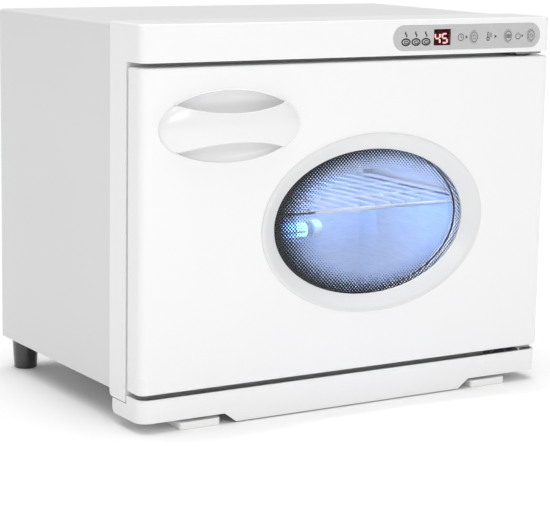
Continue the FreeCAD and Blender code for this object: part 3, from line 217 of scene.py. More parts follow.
def circuit(name):
    """Solder mask over copper tracks, with rows of pads."""
    look = Look(name)
    tracks = look.node("ShaderNodeTexBrick", offset=0.37, squash=0.6)
    tracks.inputs["Scale"].default_value = 120.0
    tracks.inputs["Mortar Size"].default_value = 0.035
    tracks.inputs["Color1"].default_value = (0.010, 0.085, 0.035, 1)
    tracks.inputs["Color2"].default_value = (0.016, 0.115, 0.048, 1)
    tracks.inputs["Mortar"].default_value = (0.03, 0.20, 0.09, 1)
    look.link(look.coords, tracks.inputs["Vector"])
    look.set(
        Base_Color=tracks.outputs["Color"],
        Roughness=look.spread(look.noise(90.0), 0.25, 0.42),
        Normal=look.bump(tracks.outputs["Fac"], 0.03 * MM, 0.6),
    )
    return look


def fibre(name, color):
    """Matted glass fibre."""
    look = Look(name)
    long_threads = look.noise(160.0, (1.0, 6.0, 1.0), detail=8.0, roughness=0.75)
    cross_threads = look.noise(160.0, (6.0, 1.0, 1.0), detail=8.0, roughness=0.75)
    web = look.math("MAXIMUM", long_threads, cross_threads)
    look.set(
        Base_Color=look.between(look.spread(web, 0.0, 1.0, 0.4, 0.75), shade(color, 0.72), color),
        Roughness=0.95,
        Sheen_Weight=0.25,
        Normal=look.bump(web, 0.5 * MM, 0.8),
    )
    return look


# Halftone on the window. Reach is 0 at the print's middle and 1 at the rim of the clear glass.
DOT_PITCH = 2.5 * MM
PRINT_FROM = 0.728          # reach where the first dots show
PRINT_FULL = 1.04           # reach where the ink is solid
PRINT_SHIFT = Vector((12.0 * MM, 0.0, 0.0))
NO_INK, ALL_INK = -0.54, 0.52
DOT_CRISPNESS = 14.0


def dot_print(name, centre, half):
    """Black enamel printed as a halftone: solid at the rim, its dots shrinking inwards."""
    look = Look(name)
    place = look.node("ShaderNodeSeparateXYZ")
    look.link(look.coords, place.inputs[0])
    x = look.math("SUBTRACT", place.outputs["X"], centre.x)
    z = look.math("SUBTRACT", place.outputs["Z"], centre.z)
    reach_x = look.math("POWER", look.math("DIVIDE", x, half.x), 2.0)
    reach_z = look.math("POWER", look.math("DIVIDE", z, half.z), 2.0)
    reach = look.math("SQRT", look.math("ADD", reach_x, reach_z))
    step = 2 * math.pi / (DOT_PITCH * math.sqrt(2))
    along = look.math("COSINE", look.math("MULTIPLY", look.math("ADD", x, z), step))
    aside = look.math("COSINE", look.math("MULTIPLY", look.math("SUBTRACT", x, z), step))
    waves = look.math("MULTIPLY", look.math("ADD", along, aside), 0.25)
    cover = look.spread(reach, NO_INK, ALL_INK, PRINT_FROM, PRINT_FULL)
    ink = look.math("MULTIPLY", look.math("ADD", waves, cover), DOT_CRISPNESS)
    shown = look.math("ADD", ink, 0.5, clamp=True)
    look.set(
        Base_Color=look.between(look.noise(300.0), (0.006, 0.006, 0.008), (0.014, 0.014, 0.016)),
        Roughness=0.35,
        Specular_IOR_Level=0.15,
        Alpha=shown,
    )
    return look


WHITE = (0.90, 0.90, 0.905)

FINISHES = (
    surface("case_paint", (0.755, 0.755, 0.76), 0.38, grain=1400, grain_depth=0.03, mottle=5,
            tint=0.02, rough_spread=0.04),
    surface("panel_steel", (0.74, 0.74, 0.75), 0.45, grain=1200, grain_depth=0.03, mottle=7),
    surface("white_plastic", WHITE, 0.30, grain=2600, grain_depth=0.003, mottle=4,
            tint=0.015, wave=0.02, rough_spread=0.04, coat=0.05),
    surface("handle_plastic", WHITE, 0.16, grain=2600, grain_depth=0.002, mottle=6,
            tint=0.012, rough_spread=0.03, coat=0.4),
    surface("foot_plastic", (0.93, 0.93, 0.92), 0.5, grain=1500, grain_depth=0.03, mottle=20),
    surface("black_rubber", (0.014, 0.014, 0.015), 0.26, grain=1400, grain_depth=0.01,
            mottle=60, rough_spread=0.03, coat=1.0),
    surface("seal_rubber", (0.05, 0.05, 0.055), 0.6, grain=900, grain_depth=0.04, mottle=40),
    brushed("bright_liner", (0.88, 0.885, 0.90), 0.42, (1.0, 1.0, 14.0), metallic=0.55),
    fibre("insulation", (0.82, 0.78, 0.62)),
    surface("foam", (0.86, 0.86, 0.80), 0.9, grain=420, grain_depth=0.3, mottle=60, tint=0.10),
    brushed("aluminium_plate", (0.78, 0.79, 0.80), 0.38, (14.0, 1.0, 1.0)),
    surface("silicone_heater", (0.42, 0.10, 0.05), 0.55, grain=500, grain_depth=0.06, mottle=50),
    brushed("sensor_metal", (0.66, 0.66, 0.67), 0.35, (1.0, 8.0, 1.0)),
    surface("stainless_wire", (0.90, 0.91, 0.93), 0.34, metallic=0.75, grain=1600,
            grain_depth=0.004, mottle=90, tint=0.10),
    brushed("rail_metal", (0.80, 0.81, 0.83), 0.32, (1.0, 12.0, 12.0)),
    lit("lamp_glass", (0.22, 0.50, 1.0), 2.6),
    brushed("lamp_cap_metal", (0.80, 0.80, 0.82), 0.28, (10.0, 1.0, 1.0)),
    surface("white_ceramic", (0.84, 0.84, 0.82), 0.25, grain=700, grain_depth=0.01, mottle=60),
    surface("ballast_case", (0.70, 0.70, 0.68), 0.45, grain=1000, grain_depth=0.03, mottle=40),
    surface("silver_panel", (0.56, 0.56, 0.565), 0.38, metallic=0.15, grain=3200,
            grain_depth=0.006, mottle=70, tint=0.05),
    glass("smoked_pane", (0.06, 0.006, 0.007), 0.04, 0.55, 1.0),
    lit("digit_red", (1.0, 0.50, 0.48), 5.0),
    surface("black_plastic", (0.018, 0.018, 0.019), 0.42, grain=1300, grain_depth=0.03, mottle=60),
    surface("button_plastic", (0.52, 0.52, 0.525), 0.34, metallic=0.2, grain=2600,
            grain_depth=0.006, mottle=120, tint=0.05),
    circuit("circuit_board"),
    surface("wire_sheath", (0.02, 0.02, 0.022), 0.45, grain=900, grain_depth=0.02, mottle=80),
    brushed("brass_pin", (0.80, 0.60, 0.28), 0.25, (1.0, 14.0, 1.0)),
    brushed("screw_steel", (0.72, 0.72, 0.74), 0.28, (9.0, 1.0, 9.0)),
    surface("door_sheet", (0.84, 0.84, 0.85), 0.28, grain=1500, grain_depth=0.02, mottle=6,
            tint=0.015, rough_spread=0.03, coat=0.2),
    surface("magnet", (0.035, 0.035, 0.037), 0.55, grain=700, grain_depth=0.05, mottle=80),
    glass("window_glass", (0.80, 0.85, 0.90)),
    glass("inner_glass", (0.80, 0.85, 0.90)),
    # Spacer between the panes: painted near white (0.94), painted light standing in for light that hardly
    # reaches it.
    surface("spacer_rubber", (0.94, 0.94, 0.93), 0.5, grain=900, grain_depth=0.03, mottle=30),
    brushed("hinge_steel", (0.36, 0.36, 0.37), 0.42, (12.0, 1.0, 1.0)),
    brushed("pin_steel", (0.78, 0.78, 0.80), 0.18, (1.0, 1.0, 10.0)),
    surface("nylon", (0.84, 0.83, 0.78), 0.42, grain=900, grain_depth=0.02, mottle=60),
)
LOOKS = {look.name: look for look in FINISHES}

# Finishes of the pieces made below.
# Bezel ring: the door's white plastic painted darker grey (0.77), painted shade for the shade on its sloping
# faces.
BEZEL_SHADED_LOOK = surface("bezel_plastic_painted_shade", (0.77, 0.77, 0.77), 0.26, grain=2600, grain_depth=0.003, mottle=5,
                     tint=0.015, rough_spread=0.03, coat=0.1)
# Bowl: the same white plastic painted lighter (0.96 against 0.90), painted light that brightens the shaded
# inside of the bowl.
BOWL_LIT_LOOK = surface("bowl_plastic_painted_light", (0.96, 0.96, 0.965), 0.22, grain=2600, grain_depth=0.002, mottle=6,
                    tint=0.012, rough_spread=0.03, coat=0.4)
# Grip bar: the white handle plastic painted darker (0.84), painted shade for the shade on the rounded bar.
GRIP_SHADED_LOOK = surface("grip_plastic_painted_shade", (0.84, 0.84, 0.845), 0.16, grain=2600, grain_depth=0.002, mottle=6,
                    tint=0.012, rough_spread=0.03, coat=0.3)
INK = surface("printed_ink", (0.02, 0.02, 0.022), 0.5, grain=1800, grain_depth=0.004, mottle=120)
GREY_INK = surface("grey_ink", (0.06, 0.06, 0.062), 0.5, grain=1800, grain_depth=0.004, mottle=120)

for node_name, node_object in frame["nodes"].items():
    mesh = node_object.data
    mesh.materials.clear()
    mesh.materials.append(LOOKS[SLOT_OF[node_name]].material)


# ---- mesh helpers -----------------------------------------------------------------------
SAME_PLACE = 1e-7


def piece(name, mesh_builder, body, look, smooth_angle=35.0, stands_for=()):
    """Turns a bmesh into a named piece that rides on a body."""
    bmesh.ops.recalc_face_normals(mesh_builder, faces=mesh_builder.faces)
    mesh = bpy.data.meshes.new(name)
    mesh_builder.to_mesh(mesh)
    mesh_builder.free()
    for polygon in mesh.polygons:
        polygon.use_smooth = True
    mesh.set_sharp_from_angle(angle=math.radians(smooth_angle))
    mesh.materials.append(look.material)
    made = bpy.data.objects.new(name, mesh)
    bpy.context.scene.collection.objects.link(made)
    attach(made, body)
    if stands_for:
        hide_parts(*stands_for)
    return made


def grid_loops(builder, loops, closed_run=False):
    """Skins a list of closed point loops; a loop whose points all meet becomes one vertex."""
    rows = []
    for loop in loops:
        if all((point - loop[0]).length < SAME_PLACE for point in loop):
            rows.append([builder.verts.new(loop[0])])
        else:
            rows.append([builder.verts.new(point) for point in loop])
    pairs = list(zip(rows, rows[1:]))
    if closed_run:
        pairs.append((rows[-1], rows[0]))
    for first, second in pairs:
        for i in range(max(len(first), len(second))):
            corners = [first[i % len(first)], first[(i + 1) % len(first)],
                       second[(i + 1) % len(second)], second[i % len(second)]]
            kept = []
            for corner in corners:
                if corner not in kept:
                    kept.append(corner)
            if len(kept) >= 3:
                builder.faces.new(kept)


def oval_loop(centre, a, b, y, segments):
    angles = (2 * math.pi * i / segments for i in range(segments))
    return [Vector((centre.x + a * math.cos(t), y, centre.z + b * math.sin(t))) for t in angles]


def turned_oval(centre, profile, segments):
    """A solid turned round an upright oval: profile holds (half width, half height, depth)."""
    builder = bmesh.new()
    loops = [oval_loop(centre, a, b, y, segments) for a, b, y in profile]
    starts_at_pole = profile[0][0] < SAME_PLACE
    grid_loops(builder, loops, closed_run=not starts_at_pole)
    return builder


def arc_points(start, corner, end, steps):
    """Points of a rounded corner, a quadratic curve pulled towards the corner."""
    found = []
    for i in range(steps + 1):
        t = i / steps
        found.append(tuple(
            (1 - t) ** 2 * s + 2 * t * (1 - t) * c + t * t * e
            for s, c, e in zip(start, corner, end)
        ))
    return found


def plate_from(builder, outline, y0, y1):
    """Adds a closed flat plate whose outline is a list of (x, z)."""
    front = [builder.verts.new((x, y0, z)) for x, z in outline]
    back = [builder.verts.new((x, y1, z)) for x, z in outline]
    builder.faces.new(front)
    builder.faces.new(list(reversed(back)))
    for i in range(len(outline)):
        j = (i + 1) % len(outline)
        builder.faces.new([front[i], back[i], back[j], front[j]])


def ring_into(builder, x, z, a, b, width, y0, y1, start=0.0, end=360.0, steps=40):
    """Adds an oval line of a given width, whole or as an arc (degrees, 90 is up)."""
    whole = abs(end - start) >= 359.9
    angles = [math.radians(start + (end - start) * i / steps) for i in range(steps if whole else steps + 1)]
    loops = []
    for angle in angles:
        outer = (x + a * math.cos(angle), z + b * math.sin(angle))
        inner = (x + (a - width) * math.cos(angle), z + (b - width) * math.sin(angle))
        loops.append([
            Vector((outer[0], y0, outer[1])), Vector((outer[0], y1, outer[1])),
            Vector((inner[0], y1, inner[1])), Vector((inner[0], y0, inner[1])),
        ])
    first_vertex = len(builder.verts)
    grid_loops(builder, loops, closed_run=whole)
    if not whole:
        builder.verts.ensure_lookup_table()
        builder.faces.new([builder.verts[first_vertex + k] for k in (0, 1, 2, 3)])
        last = len(builder.verts) - 4
        builder.faces.new([builder.verts[last + k] for k in (3, 2, 1, 0)])


def line_into(builder, points, width, y0, y1):
    """Adds a straight-sided stroke through (x, z) points, one bar for each run."""
    for (x0, z0), (x1, z1) in zip(points, points[1:]):
        run = Vector((x1 - x0, z1 - z0))
        side = Vector((-run.y, run.x)).normalized() * (width / 2)
        plate_from(builder, [
            (x0 + side.x, z0 + side.y), (x0 - side.x, z0 - side.y),
            (x1 - side.x, z1 - side.y), (x1 + side.x, z1 + side.y),
        ], y0, y1)


# ---- window -----------------------------------------------------------------------------
bezel_low, bezel_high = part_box("window_bezel")
pane_low, pane_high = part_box("outer_pane")
WINDOW = Vector(((bezel_low.x + bezel_high.x) / 2, 0.0, (bezel_low.z + bezel_high.z) / 2))
BEZEL_A = (bezel_high.x - bezel_low.x) / 2
BEZEL_B = (bezel_high.z - bezel_low.z) / 2
PANE_A = (pane_high.x - pane_low.x) / 2
PANE_B = (pane_high.z - pane_low.z) / 2
PANE_LAP = 5.5 * MM          # how far the ring covers the pane's edge
SIGHT_A = PANE_A - PANE_LAP
SIGHT_B = PANE_B - PANE_LAP
DOOR_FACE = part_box("door_shell")[0].y
RING_PROUD = 1.35 * MM
RING_NECK = 2.2 * MM         # step from the ring's edge to its collar in the door
DOOR_GAP = 0.02 * MM
PANE_GAP = 0.06 * MM
PRINT_RIM = 1.2 * MM         # how far the print goes under the ring


def build_bezel():
    """Soft-edged oval ring that falls inwards to the glass."""
    top = DOOR_FACE - RING_PROUD
    slope_start = DOOR_FACE - 0.3 * MM
    slope_end = pane_low.y - 1.6 * MM
    edge_width, crown_start, crown_pull = 1.6 * MM, 2.0 * MM, 3.6 * MM
    crown_a, crown_b = 5.4 * MM, 5.0 * MM
    inner_a, inner_b = SIGHT_A + 0.9 * MM, SIGHT_B + 0.9 * MM
    collar_a, collar_b = PANE_A + 0.1 * MM, PANE_B + 0.1 * MM
    profile = [(BEZEL_A, BEZEL_B, DOOR_FACE - DOOR_GAP)]
    profile += arc_points(
        (BEZEL_A, BEZEL_B, DOOR_FACE - 0.35 * MM),
        (BEZEL_A - 0.1 * MM, BEZEL_B - 0.1 * MM, top),
        (BEZEL_A - edge_width, BEZEL_B - edge_width, top), 5)
    profile += arc_points(
        (BEZEL_A - crown_start, BEZEL_B - crown_start, top),
        (BEZEL_A - crown_pull, BEZEL_B - crown_pull, top),
        (BEZEL_A - crown_a, BEZEL_B - crown_b, slope_start), 5)
    for i in range(1, 5):
        t = i / 5
        profile.append((
            BEZEL_A - crown_a + (inner_a - BEZEL_A + crown_a) * t,
            BEZEL_B - crown_b + (inner_b - BEZEL_B + crown_b) * t,
            slope_start + (slope_end - slope_start) * t,
        ))
    profile += arc_points(
        (inner_a, inner_b, slope_end),
        (SIGHT_A, SIGHT_B, slope_end + 0.4 * MM),
        (SIGHT_A, SIGHT_B, pane_low.y - PANE_GAP), 4)
    profile.append((collar_a, collar_b, pane_low.y - PANE_GAP))
    profile.append((collar_a, collar_b, bezel_high.y))
    profile.append((BEZEL_A - RING_NECK, BEZEL_B - RING_NECK, bezel_high.y))
    profile.append((BEZEL_A - RING_NECK, BEZEL_B - RING_NECK, DOOR_FACE - DOOR_GAP))
    return turned_oval(WINDOW, profile, 192)


piece("window_bezel_ring", build_bezel(), "door", BEZEL_SHADED_LOOK, 50.0,
      stands_for=("window_bezel",))


def build_print():
    """Film on the pane's inner face; its clear middle sits a little right of the pane's."""
    near, far = pane_high.y + 0.005 * MM, pane_high.y + 0.03 * MM
    inner = PRINT_FROM - 0.03
    builder = bmesh.new()
    grid_loops(builder, [
        oval_loop(WINDOW, SIGHT_A + PRINT_RIM, SIGHT_B + PRINT_RIM, near, 128),
        oval_loop(WINDOW + PRINT_SHIFT, SIGHT_A * inner, SIGHT_B * inner, near, 128),
        oval_loop(WINDOW + PRINT_SHIFT, SIGHT_A * inner, SIGHT_B * inner, far, 128),
        oval_loop(WINDOW, SIGHT_A + PRINT_RIM, SIGHT_B + PRINT_RIM, far, 128),
    ], closed_run=True)
    return builder


PRINT_LOOK = dot_print("window_dot_print", WINDOW + PRINT_SHIFT, Vector((SIGHT_A, 0, SIGHT_B)))
piece("window_print", build_print(), "door", PRINT_LOOK)


# ---- handle -----------------------------------------------------------------------------
dish_low, dish_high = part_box("handle_dish")
grip_low, grip_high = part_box("handle_grip")
HANDLE = Vector(((dish_low.x + dish_high.x) / 2, 0.0, (dish_low.z + dish_high.z) / 2))
DISH_OUT_A = (dish_high.x - dish_low.x) / 2
DISH_OUT_B = (dish_high.z - dish_low.z) / 2
DISH_WALL = 2.0 * MM
DISH_DEEP = dish_high.y - DOOR_FACE - DISH_WALL
BOWL_STEPS = 26
BOWL_REACH = 88              # degrees of the bowl's curve, which stops just short of the rim
RIM_LIP = 0.1 * MM
RIM_DROP = 0.7 * MM
RIM_WIDTH = 1.0 * MM
GRIP_WALL = 3.0 * MM
GRIP_EDGE_R = 1.45 * MM
GRIP_WAIST = 13.0 * MM       # half the bar's height at its middle
GRIP_BOW = 203.7 * MM        # radius of its long edges, which spread towards the ends
GRIP_STATIONS = 132


def build_dish():
    """Bowl let into the door: rounded rim, smooth inside, plain back."""
    a, b = DISH_OUT_A - DISH_WALL, DISH_OUT_B - DISH_WALL
    profile = [(0.0, 0.0, DOOR_FACE + DISH_DEEP)]
    for i in range(1, BOWL_STEPS):
        angle = math.radians(90 - BOWL_REACH * i / BOWL_STEPS)
        profile.append((a * math.cos(angle), b * math.cos(angle), DOOR_FACE + DISH_DEEP * math.sin(angle)))
    profile += arc_points(
        (a + RIM_LIP, b + RIM_LIP, DOOR_FACE + RIM_DROP),
        (a + RIM_LIP, b + RIM_LIP, DOOR_FACE),
        (a + RIM_WIDTH, b + RIM_WIDTH, DOOR_FACE), 4)
    profile.append((DISH_OUT_A, DISH_OUT_B, DOOR_FACE))
    for i in range(1, BOWL_STEPS):
        angle = math.radians(90 * i / BOWL_STEPS)
        profile.append((DISH_OUT_A * math.cos(angle), DISH_OUT_B * math.cos(angle),
                        DOOR_FACE + (DISH_DEEP + DISH_WALL) * math.sin(angle)))
    profile.append((0.0, 0.0, DOOR_FACE + DISH_DEEP + DISH_WALL))
    return turned_oval(HANDLE, profile, 144)


def build_grip():
    """Bulging bar across the bowl, with rounded long edges and ends that die into the rim."""
    out_a = (grip_high.x - grip_low.x) / 2
    out_b = DISH_OUT_B - 0.3 * MM
    bulge = DOOR_FACE - grip_low.y
    in_a, in_b, in_y = out_a - GRIP_WALL, out_b - GRIP_WALL, bulge - GRIP_WALL

    def edge_height(x):
        rim = out_b * math.sqrt(max(0.0, 1 - (x / out_a) ** 2))
        arc = GRIP_WAIST + GRIP_BOW - math.sqrt(GRIP_BOW * GRIP_BOW - x * x)
        return min(rim, arc)

    def front(x, z):
        return DOOR_FACE - bulge * math.sqrt(max(0.0, 1 - (x / out_a) ** 2 - (z / out_b) ** 2))

    def rear(x, z):
        return DOOR_FACE - in_y * math.sqrt(max(0.0, 1 - (x / in_a) ** 2 - (z / in_b) ** 2))

    def section(x):
        height = edge_height(x)
        radius = min(GRIP_EDGE_R, 0.5 * max(0.0, rear(x, height) - front(x, height)))
        flat = max(0.0, height - radius)
        points = []
        across = 22
        for i in range(across + 1):
            z = flat * math.sin(math.pi / 2 * (2 * i / across - 1))
            points.append((z, front(x, z)))
        top_front, top_rear = front(x, flat), rear(x, flat)
        for i in range(1, 5):
            angle = math.radians(90 * i / 4)
            points.append((flat + radius * math.sin(angle), top_front + radius * (1 - math.cos(angle))))
        for i in range(4):
            angle = math.radians(90 * i / 4)
            points.append((flat + radius * math.cos(angle), top_rear - radius * (1 - math.sin(angle))))
        for i in range(across + 1):
            z = -flat * math.sin(math.pi / 2 * (2 * i / across - 1))
            points.append((z, rear(x, z)))
        for i in range(1, 5):
            angle = math.radians(90 * i / 4)
            points.append((-flat - radius * math.sin(angle), top_rear - radius * (1 - math.cos(angle))))
        for i in range(4):
            angle = math.radians(90 * i / 4)
            points.append((-flat - radius * math.cos(angle), top_front + radius * (1 - math.sin(angle))))
        return [Vector((HANDLE.x + x, y, HANDLE.z + z)) for z, y in points]

    builder = bmesh.new()
    loops = []
    for i in range(GRIP_STATIONS + 1):
        x = out_a * math.sin(math.pi / 2 * (2 * i / GRIP_STATIONS - 1))
        loops.append(section(x))
    for end in (0, -1):
        tip = Vector((HANDLE.x + (out_a if end else -out_a), DOOR_FACE, HANDLE.z))
        loops[end] = [tip.copy() for _ in loops[end]]
    grid_loops(builder, loops)
    bmesh.ops.remove_doubles(builder, verts=builder.verts, dist=0.004 * MM)
    bmesh.ops.dissolve_degenerate(builder, dist=0.002 * MM, edges=builder.edges)
    return builder


piece("handle_bowl", build_dish(), "door", BOWL_LIT_LOOK, 60.0,
      stands_for=("handle_dish",))
piece("handle_bar", build_grip(), "door", GRIP_SHADED_LOOK, 50.0,
      stands_for=("handle_grip",))


# ---- control panel prints ---------------------------------------------------------------
panel_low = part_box("control_panel")[0]
screen_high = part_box("display_window")[1]
PANEL_FACE = panel_low.y
PRINT_THICK = 0.03 * MM
PRINT_GAP = 0.002 * MM
LINE = 0.75 * MM
THIN_LINE = 0.5 * MM
FINE_LINE = 0.45 * MM
TOWEL_PITCH = 11.5 * MM
TOWEL_A, TOWEL_B, TOWEL_LINE = 5.3 * MM, 3.7 * MM, 1.5 * MM
CURL_A, CURL_B, CURL_LINE = 2.9 * MM, 1.7 * MM, 1.0 * MM
STEAM_START, STEAM_HEIGHT = 4.9 * MM, 4.6 * MM
STEAM_SWAY, STEAM_LINE, STEAM_STEPS = 1.0 * MM, 1.4 * MM, 12
CLOCK_R = 3.6 * MM
BULB_R, STEM_HALF, STEM_TOP = 2.0 * MM, 0.95 * MM, 3.2 * MM
SWITCH_R = 3.2 * MM
KEY_RING_A, KEY_RING_B, KEY_RING_LINE = 3.95 * MM, 5.0 * MM, 0.6 * MM
row_z = (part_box("time_button")[0].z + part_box("time_button")[1].z) / 2


def on_panel():
    """Front and back of a print on the panel."""
    return PANEL_FACE - PRINT_THICK, PANEL_FACE - PRINT_GAP


def build_emblem():
    """Generic mark: three rolled towels side by side, with steam rising from them."""
    y0, y1 = on_panel()
    builder = bmesh.new()
    middle = panel_low.x + 26 * MM
    low = row_z - 3.4 * MM
    for k in (-1, 0, 1):
        x = middle + k * TOWEL_PITCH
        ring_into(builder, x, low, TOWEL_A, TOWEL_B, TOWEL_LINE, y0, y1)
        ring_into(builder, x + 0.4 * MM, low - 0.2 * MM, CURL_A, CURL_B, CURL_LINE, y0, y1, 40, 380)
        wave = []
        for i in range(STEAM_STEPS + 1):
            t = i / STEAM_STEPS
            wave.append((x + STEAM_SWAY * math.sin(2 * math.pi * t), low + STEAM_START + STEAM_HEIGHT * t))
        line_into(builder, wave, STEAM_LINE, y0, y1)
    return builder


def arrow_into(builder, x, z, reach, height, y0, y1):
    """Adds a small solid triangle that points right."""
    plate_from(builder, [(x, z + height / 2), (x, z - height / 2), (x + reach, z)], y0, y1)


def build_hints():
    """Small generic signs beside the keys: a clock, a thermometer and a mains switch."""
    y0, y1 = on_panel()
    builder = bmesh.new()
    clock_x = screen_high.x + 10.5 * MM
    ring_into(builder, clock_x, row_z, CLOCK_R, CLOCK_R, LINE, y0, y1)
    hands = [(clock_x, row_z + 2.2 * MM), (clock_x, row_z), (clock_x + 1.7 * MM, row_z - 0.6 * MM)]
    line_into(builder, hands, LINE, y0, y1)
    arrow_into(builder, clock_x + 5.6 * MM, row_z, 2.6 * MM, 3.6 * MM, y0, y1)
    heat_x = (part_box("time_button")[1].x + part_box("temperature_button")[0].x) / 2 - 3.5 * MM
    ring_into(builder, heat_x, row_z - 2.2 * MM, BULB_R, BULB_R, BULB_R / 2, y0, y1)
    for side in (-1, 1):
        stem = heat_x + side * STEM_HALF
        line_into(builder, [(stem, row_z - 0.7 * MM), (stem, row_z + STEM_TOP)], LINE, y0, y1)
    ring_into(builder, heat_x, row_z + STEM_TOP, 1.3 * MM, 1.3 * MM, LINE, y0, y1, 0, 180, 12)
    for k in range(4):
        level = row_z + (-0.3 + 1.15 * k) * MM
        line_into(builder, [(heat_x + 2.1 * MM, level), (heat_x + 4.3 * MM, level)], 0.55 * MM, y0, y1)
    arrow_into(builder, heat_x + 7.8 * MM, row_z, 2.6 * MM, 3.6 * MM, y0, y1)
    power_x = (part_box("temperature_button")[1].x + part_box("power_button")[0].x) / 2 - 1.8 * MM
    ring_into(builder, power_x, row_z - 0.3 * MM, SWITCH_R, SWITCH_R, LINE, y0, y1, 125, 415, 30)
    line_into(builder, [(power_x, row_z + 0.3 * MM), (power_x, row_z + 3.6 * MM)], LINE, y0, y1)
    arrow_into(builder, power_x + 4.5 * MM, row_z, 2.2 * MM, 3.2 * MM, y0, y1)
    return builder


def build_key_print(node, sign):
    """Oval outline near the key's edge and one small sign inside it."""
    low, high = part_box(node)
    x = (low.x + high.x) / 2
    y0, y1 = low.y - PRINT_THICK, low.y - PRINT_GAP
    builder = bmesh.new()
    ring_into(builder, x, row_z, KEY_RING_A, KEY_RING_B, KEY_RING_LINE, y0, y1, steps=48)
    if sign == "step":
        plate = [(x - 1.7 * MM, row_z - 1.9 * MM), (x + 1.7 * MM, row_z - 1.9 * MM),
                 (x + 1.7 * MM, row_z + 1.5 * MM), (x - 1.7 * MM, row_z + 1.5 * MM)]
        line_into(builder, plate + plate[:1], FINE_LINE, y0, y1)
        bar_z = row_z + 2.6 * MM
        line_into(builder, [(x - 1.0 * MM, bar_z), (x + 1.0 * MM, bar_z)], FINE_LINE, y0, y1)
    elif sign == "set":
        for bar_z in (row_z - 0.95 * MM, row_z + 0.95 * MM):
            line_into(builder, [(x - 2.7 * MM, bar_z), (x + 2.7 * MM, bar_z)], 1.2 * MM, y0, y1)
    else:
        ring_into(builder, x, row_z - 0.1 * MM, 1.9 * MM, 1.9 * MM, THIN_LINE, y0, y1, 125, 415, 26)
        line_into(builder, [(x, row_z + 0.3 * MM), (x, row_z + 2.5 * MM)], THIN_LINE, y0, y1)
    return builder


piece("panel_emblem", build_emblem(), "cabinet", INK)
piece("panel_signs", build_hints(), "cabinet", GREY_INK)
KEY_SIGNS = {"time_button": "step", "temperature_button": "set", "power_button": "power"}
for key_node, sign in KEY_SIGNS.items():
    piece(key_node + "_print", build_key_print(key_node, sign), key_node, GREY_INK)


# ---- floor, light and camera ------------------------------------------------------------
FLOOR_HALF = 24.0
WORLD_STRENGTH = 0.43
SKY_STRENGTH = 2.16
SKY_SPREAD = 70              # degrees
LAMP_BLUE = (0.08, 0.34, 1.0)
WALL_BLUE = (0.05, 0.30, 1.0)
BOUNCE_BLUE = (0.84, 0.87, 1.0)
CAMERA_PLACE = (-0.97758, -1.57185, 0.4601)
CAMERA_YAW, CAMERA_PITCH, CAMERA_ROLL = 0.5571, 0.17013, 0.01689
CAMERA_LENS = 123.53
CAMERA_SHIFT = -0.05


def build_floor():
    """Plain pale sheet that the cabinet stands on."""
    builder = bmesh.new()
    corners = [(-FLOOR_HALF, -FLOOR_HALF), (FLOOR_HALF, -FLOOR_HALF),
               (FLOOR_HALF, FLOOR_HALF), (-FLOOR_HALF, FLOOR_HALF)]
    builder.faces.new([builder.verts.new((x, y, 0.0)) for x, y in corners])
    mesh = bpy.data.meshes.new("floor")
    builder.to_mesh(mesh)
    builder.free()
    look = Look("floor_paper")
    look.set(
        Base_Color=look.between(look.noise(3.0), (0.93, 0.93, 0.93), (0.95, 0.95, 0.95)),
        Roughness=0.85,
        Specular_IOR_Level=0.1,
    )
    mesh.materials.append(look.material)
    made = bpy.data.objects.new("floor", mesh)
    bpy.context.scene.collection.objects.link(made)


def softbox(name, place, target, size, power, color=(1, 1, 1)):
    """Rectangular light at a place, turned towards a target."""
    light = bpy.data.lights.new(name, "AREA")
    light.shape = "RECTANGLE"
    light.size, light.size_y = size
    light.energy = power
    light.color = color
    made = bpy.data.objects.new(name, light)
    made.location = place
    made.rotation_mode = "QUATERNION"
    made.rotation_quaternion = (Vector(target) - Vector(place)).to_track_quat("-Z", "Y")
    bpy.context.scene.collection.objects.link(made)
    return made


def set_world(strength):
    """Even white light from all round."""
    world = bpy.data.worlds.new("studio")
    bpy.context.scene.world = world
    world.use_nodes = True
    ground = world.node_tree.nodes["Background"]
    ground.inputs["Color"].default_value = (1.0, 1.0, 1.0, 1.0)
    ground.inputs["Strength"].default_value = strength


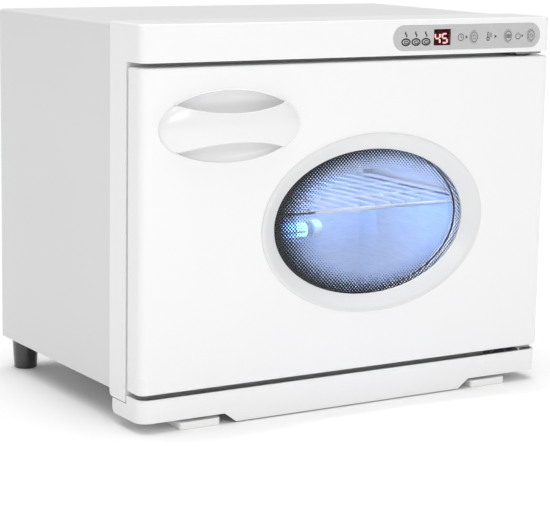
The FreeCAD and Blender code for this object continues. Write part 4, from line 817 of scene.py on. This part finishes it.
def set_camera():
    """Camera left of the door and a little above it, turned right and slightly down."""
    level = math.cos(CAMERA_PITCH)
    forward = Vector((math.sin(CAMERA_YAW) * level, math.cos(CAMERA_YAW) * level, -math.sin(CAMERA_PITCH)))
    right = Vector((math.cos(CAMERA_YAW), -math.sin(CAMERA_YAW), 0.0))
    up = right.cross(forward)
    turned_right = math.cos(CAMERA_ROLL) * right + math.sin(CAMERA_ROLL) * up
    turned_up = -math.sin(CAMERA_ROLL) * right + math.cos(CAMERA_ROLL) * up
    lens = bpy.data.cameras.new("camera")
    lens.sensor_width = 36.0
    lens.lens = CAMERA_LENS
    lens.shift_y = CAMERA_SHIFT
    lens.clip_start, lens.clip_end = 0.05, 60.0
    made = bpy.data.objects.new("camera", lens)
    made.matrix_world = Matrix((turned_right, turned_up, -forward)).transposed().to_4x4()
    made.location = CAMERA_PLACE
    bpy.context.scene.collection.objects.link(made)
    bpy.context.scene.camera = made


def skylight(strength):
    """Even light from overhead, the same all over the floor."""
    light = bpy.data.lights.new("overhead", "SUN")
    light.energy = strength
    light.angle = math.radians(SKY_SPREAD)
    made = bpy.data.objects.new("overhead", light)
    made.rotation_euler = (math.radians(-8), 0.0, 0.0)
    bpy.context.scene.collection.objects.link(made)


def chamber_light(name, place, target, size, power, color):
    """Light given off inside the chamber by the lamp and thrown about by the bright walls."""
    made = softbox(name, place, target, size, power, color)
    made.visible_camera = False
    made.visible_glossy = False


build_floor()
set_world(WORLD_STRENGTH)
skylight(SKY_STRENGTH)
softbox("key", (-0.42, -1.5, 1.05), (-0.10, -0.15, 0.25), (0.9, 0.7), 4.8)
low_fill = softbox("low_fill", (-0.25, -1.1, 0.07), (-0.08, 0.0, 0.03), (0.7, 0.12), 0.8)
low_fill.visible_glossy = False
lamp_low, lamp_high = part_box("lamp_tube")
lamp_z = (lamp_low.z + lamp_high.z) / 2
chamber_light("lamp_glow", (0.0, lamp_low.y - 0.012, lamp_z + 0.02), (0.0, lamp_low.y - 0.15, lamp_z + 0.10),
              (0.20, 0.02), 0.40, LAMP_BLUE)
liner_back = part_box("chamber_liner")[1].y
chamber_light("wall_glow", (0.03, liner_back - 0.03, lamp_z + 0.012), (0.03, liner_back, lamp_z - 0.002),
              (0.34, 0.008), 0.055, WALL_BLUE)
chamber_light("chamber_bounce", (0.0, -0.085, 0.295), (0.0, 0.03, 0.06), (0.34, 0.03), 0.54, BOUNCE_BLUE)
set_camera()
view = bpy.context.scene.view_settings
view.view_transform = "Standard"
view.look = "None"
view.exposure = 0.0
view.gamma = 1.0
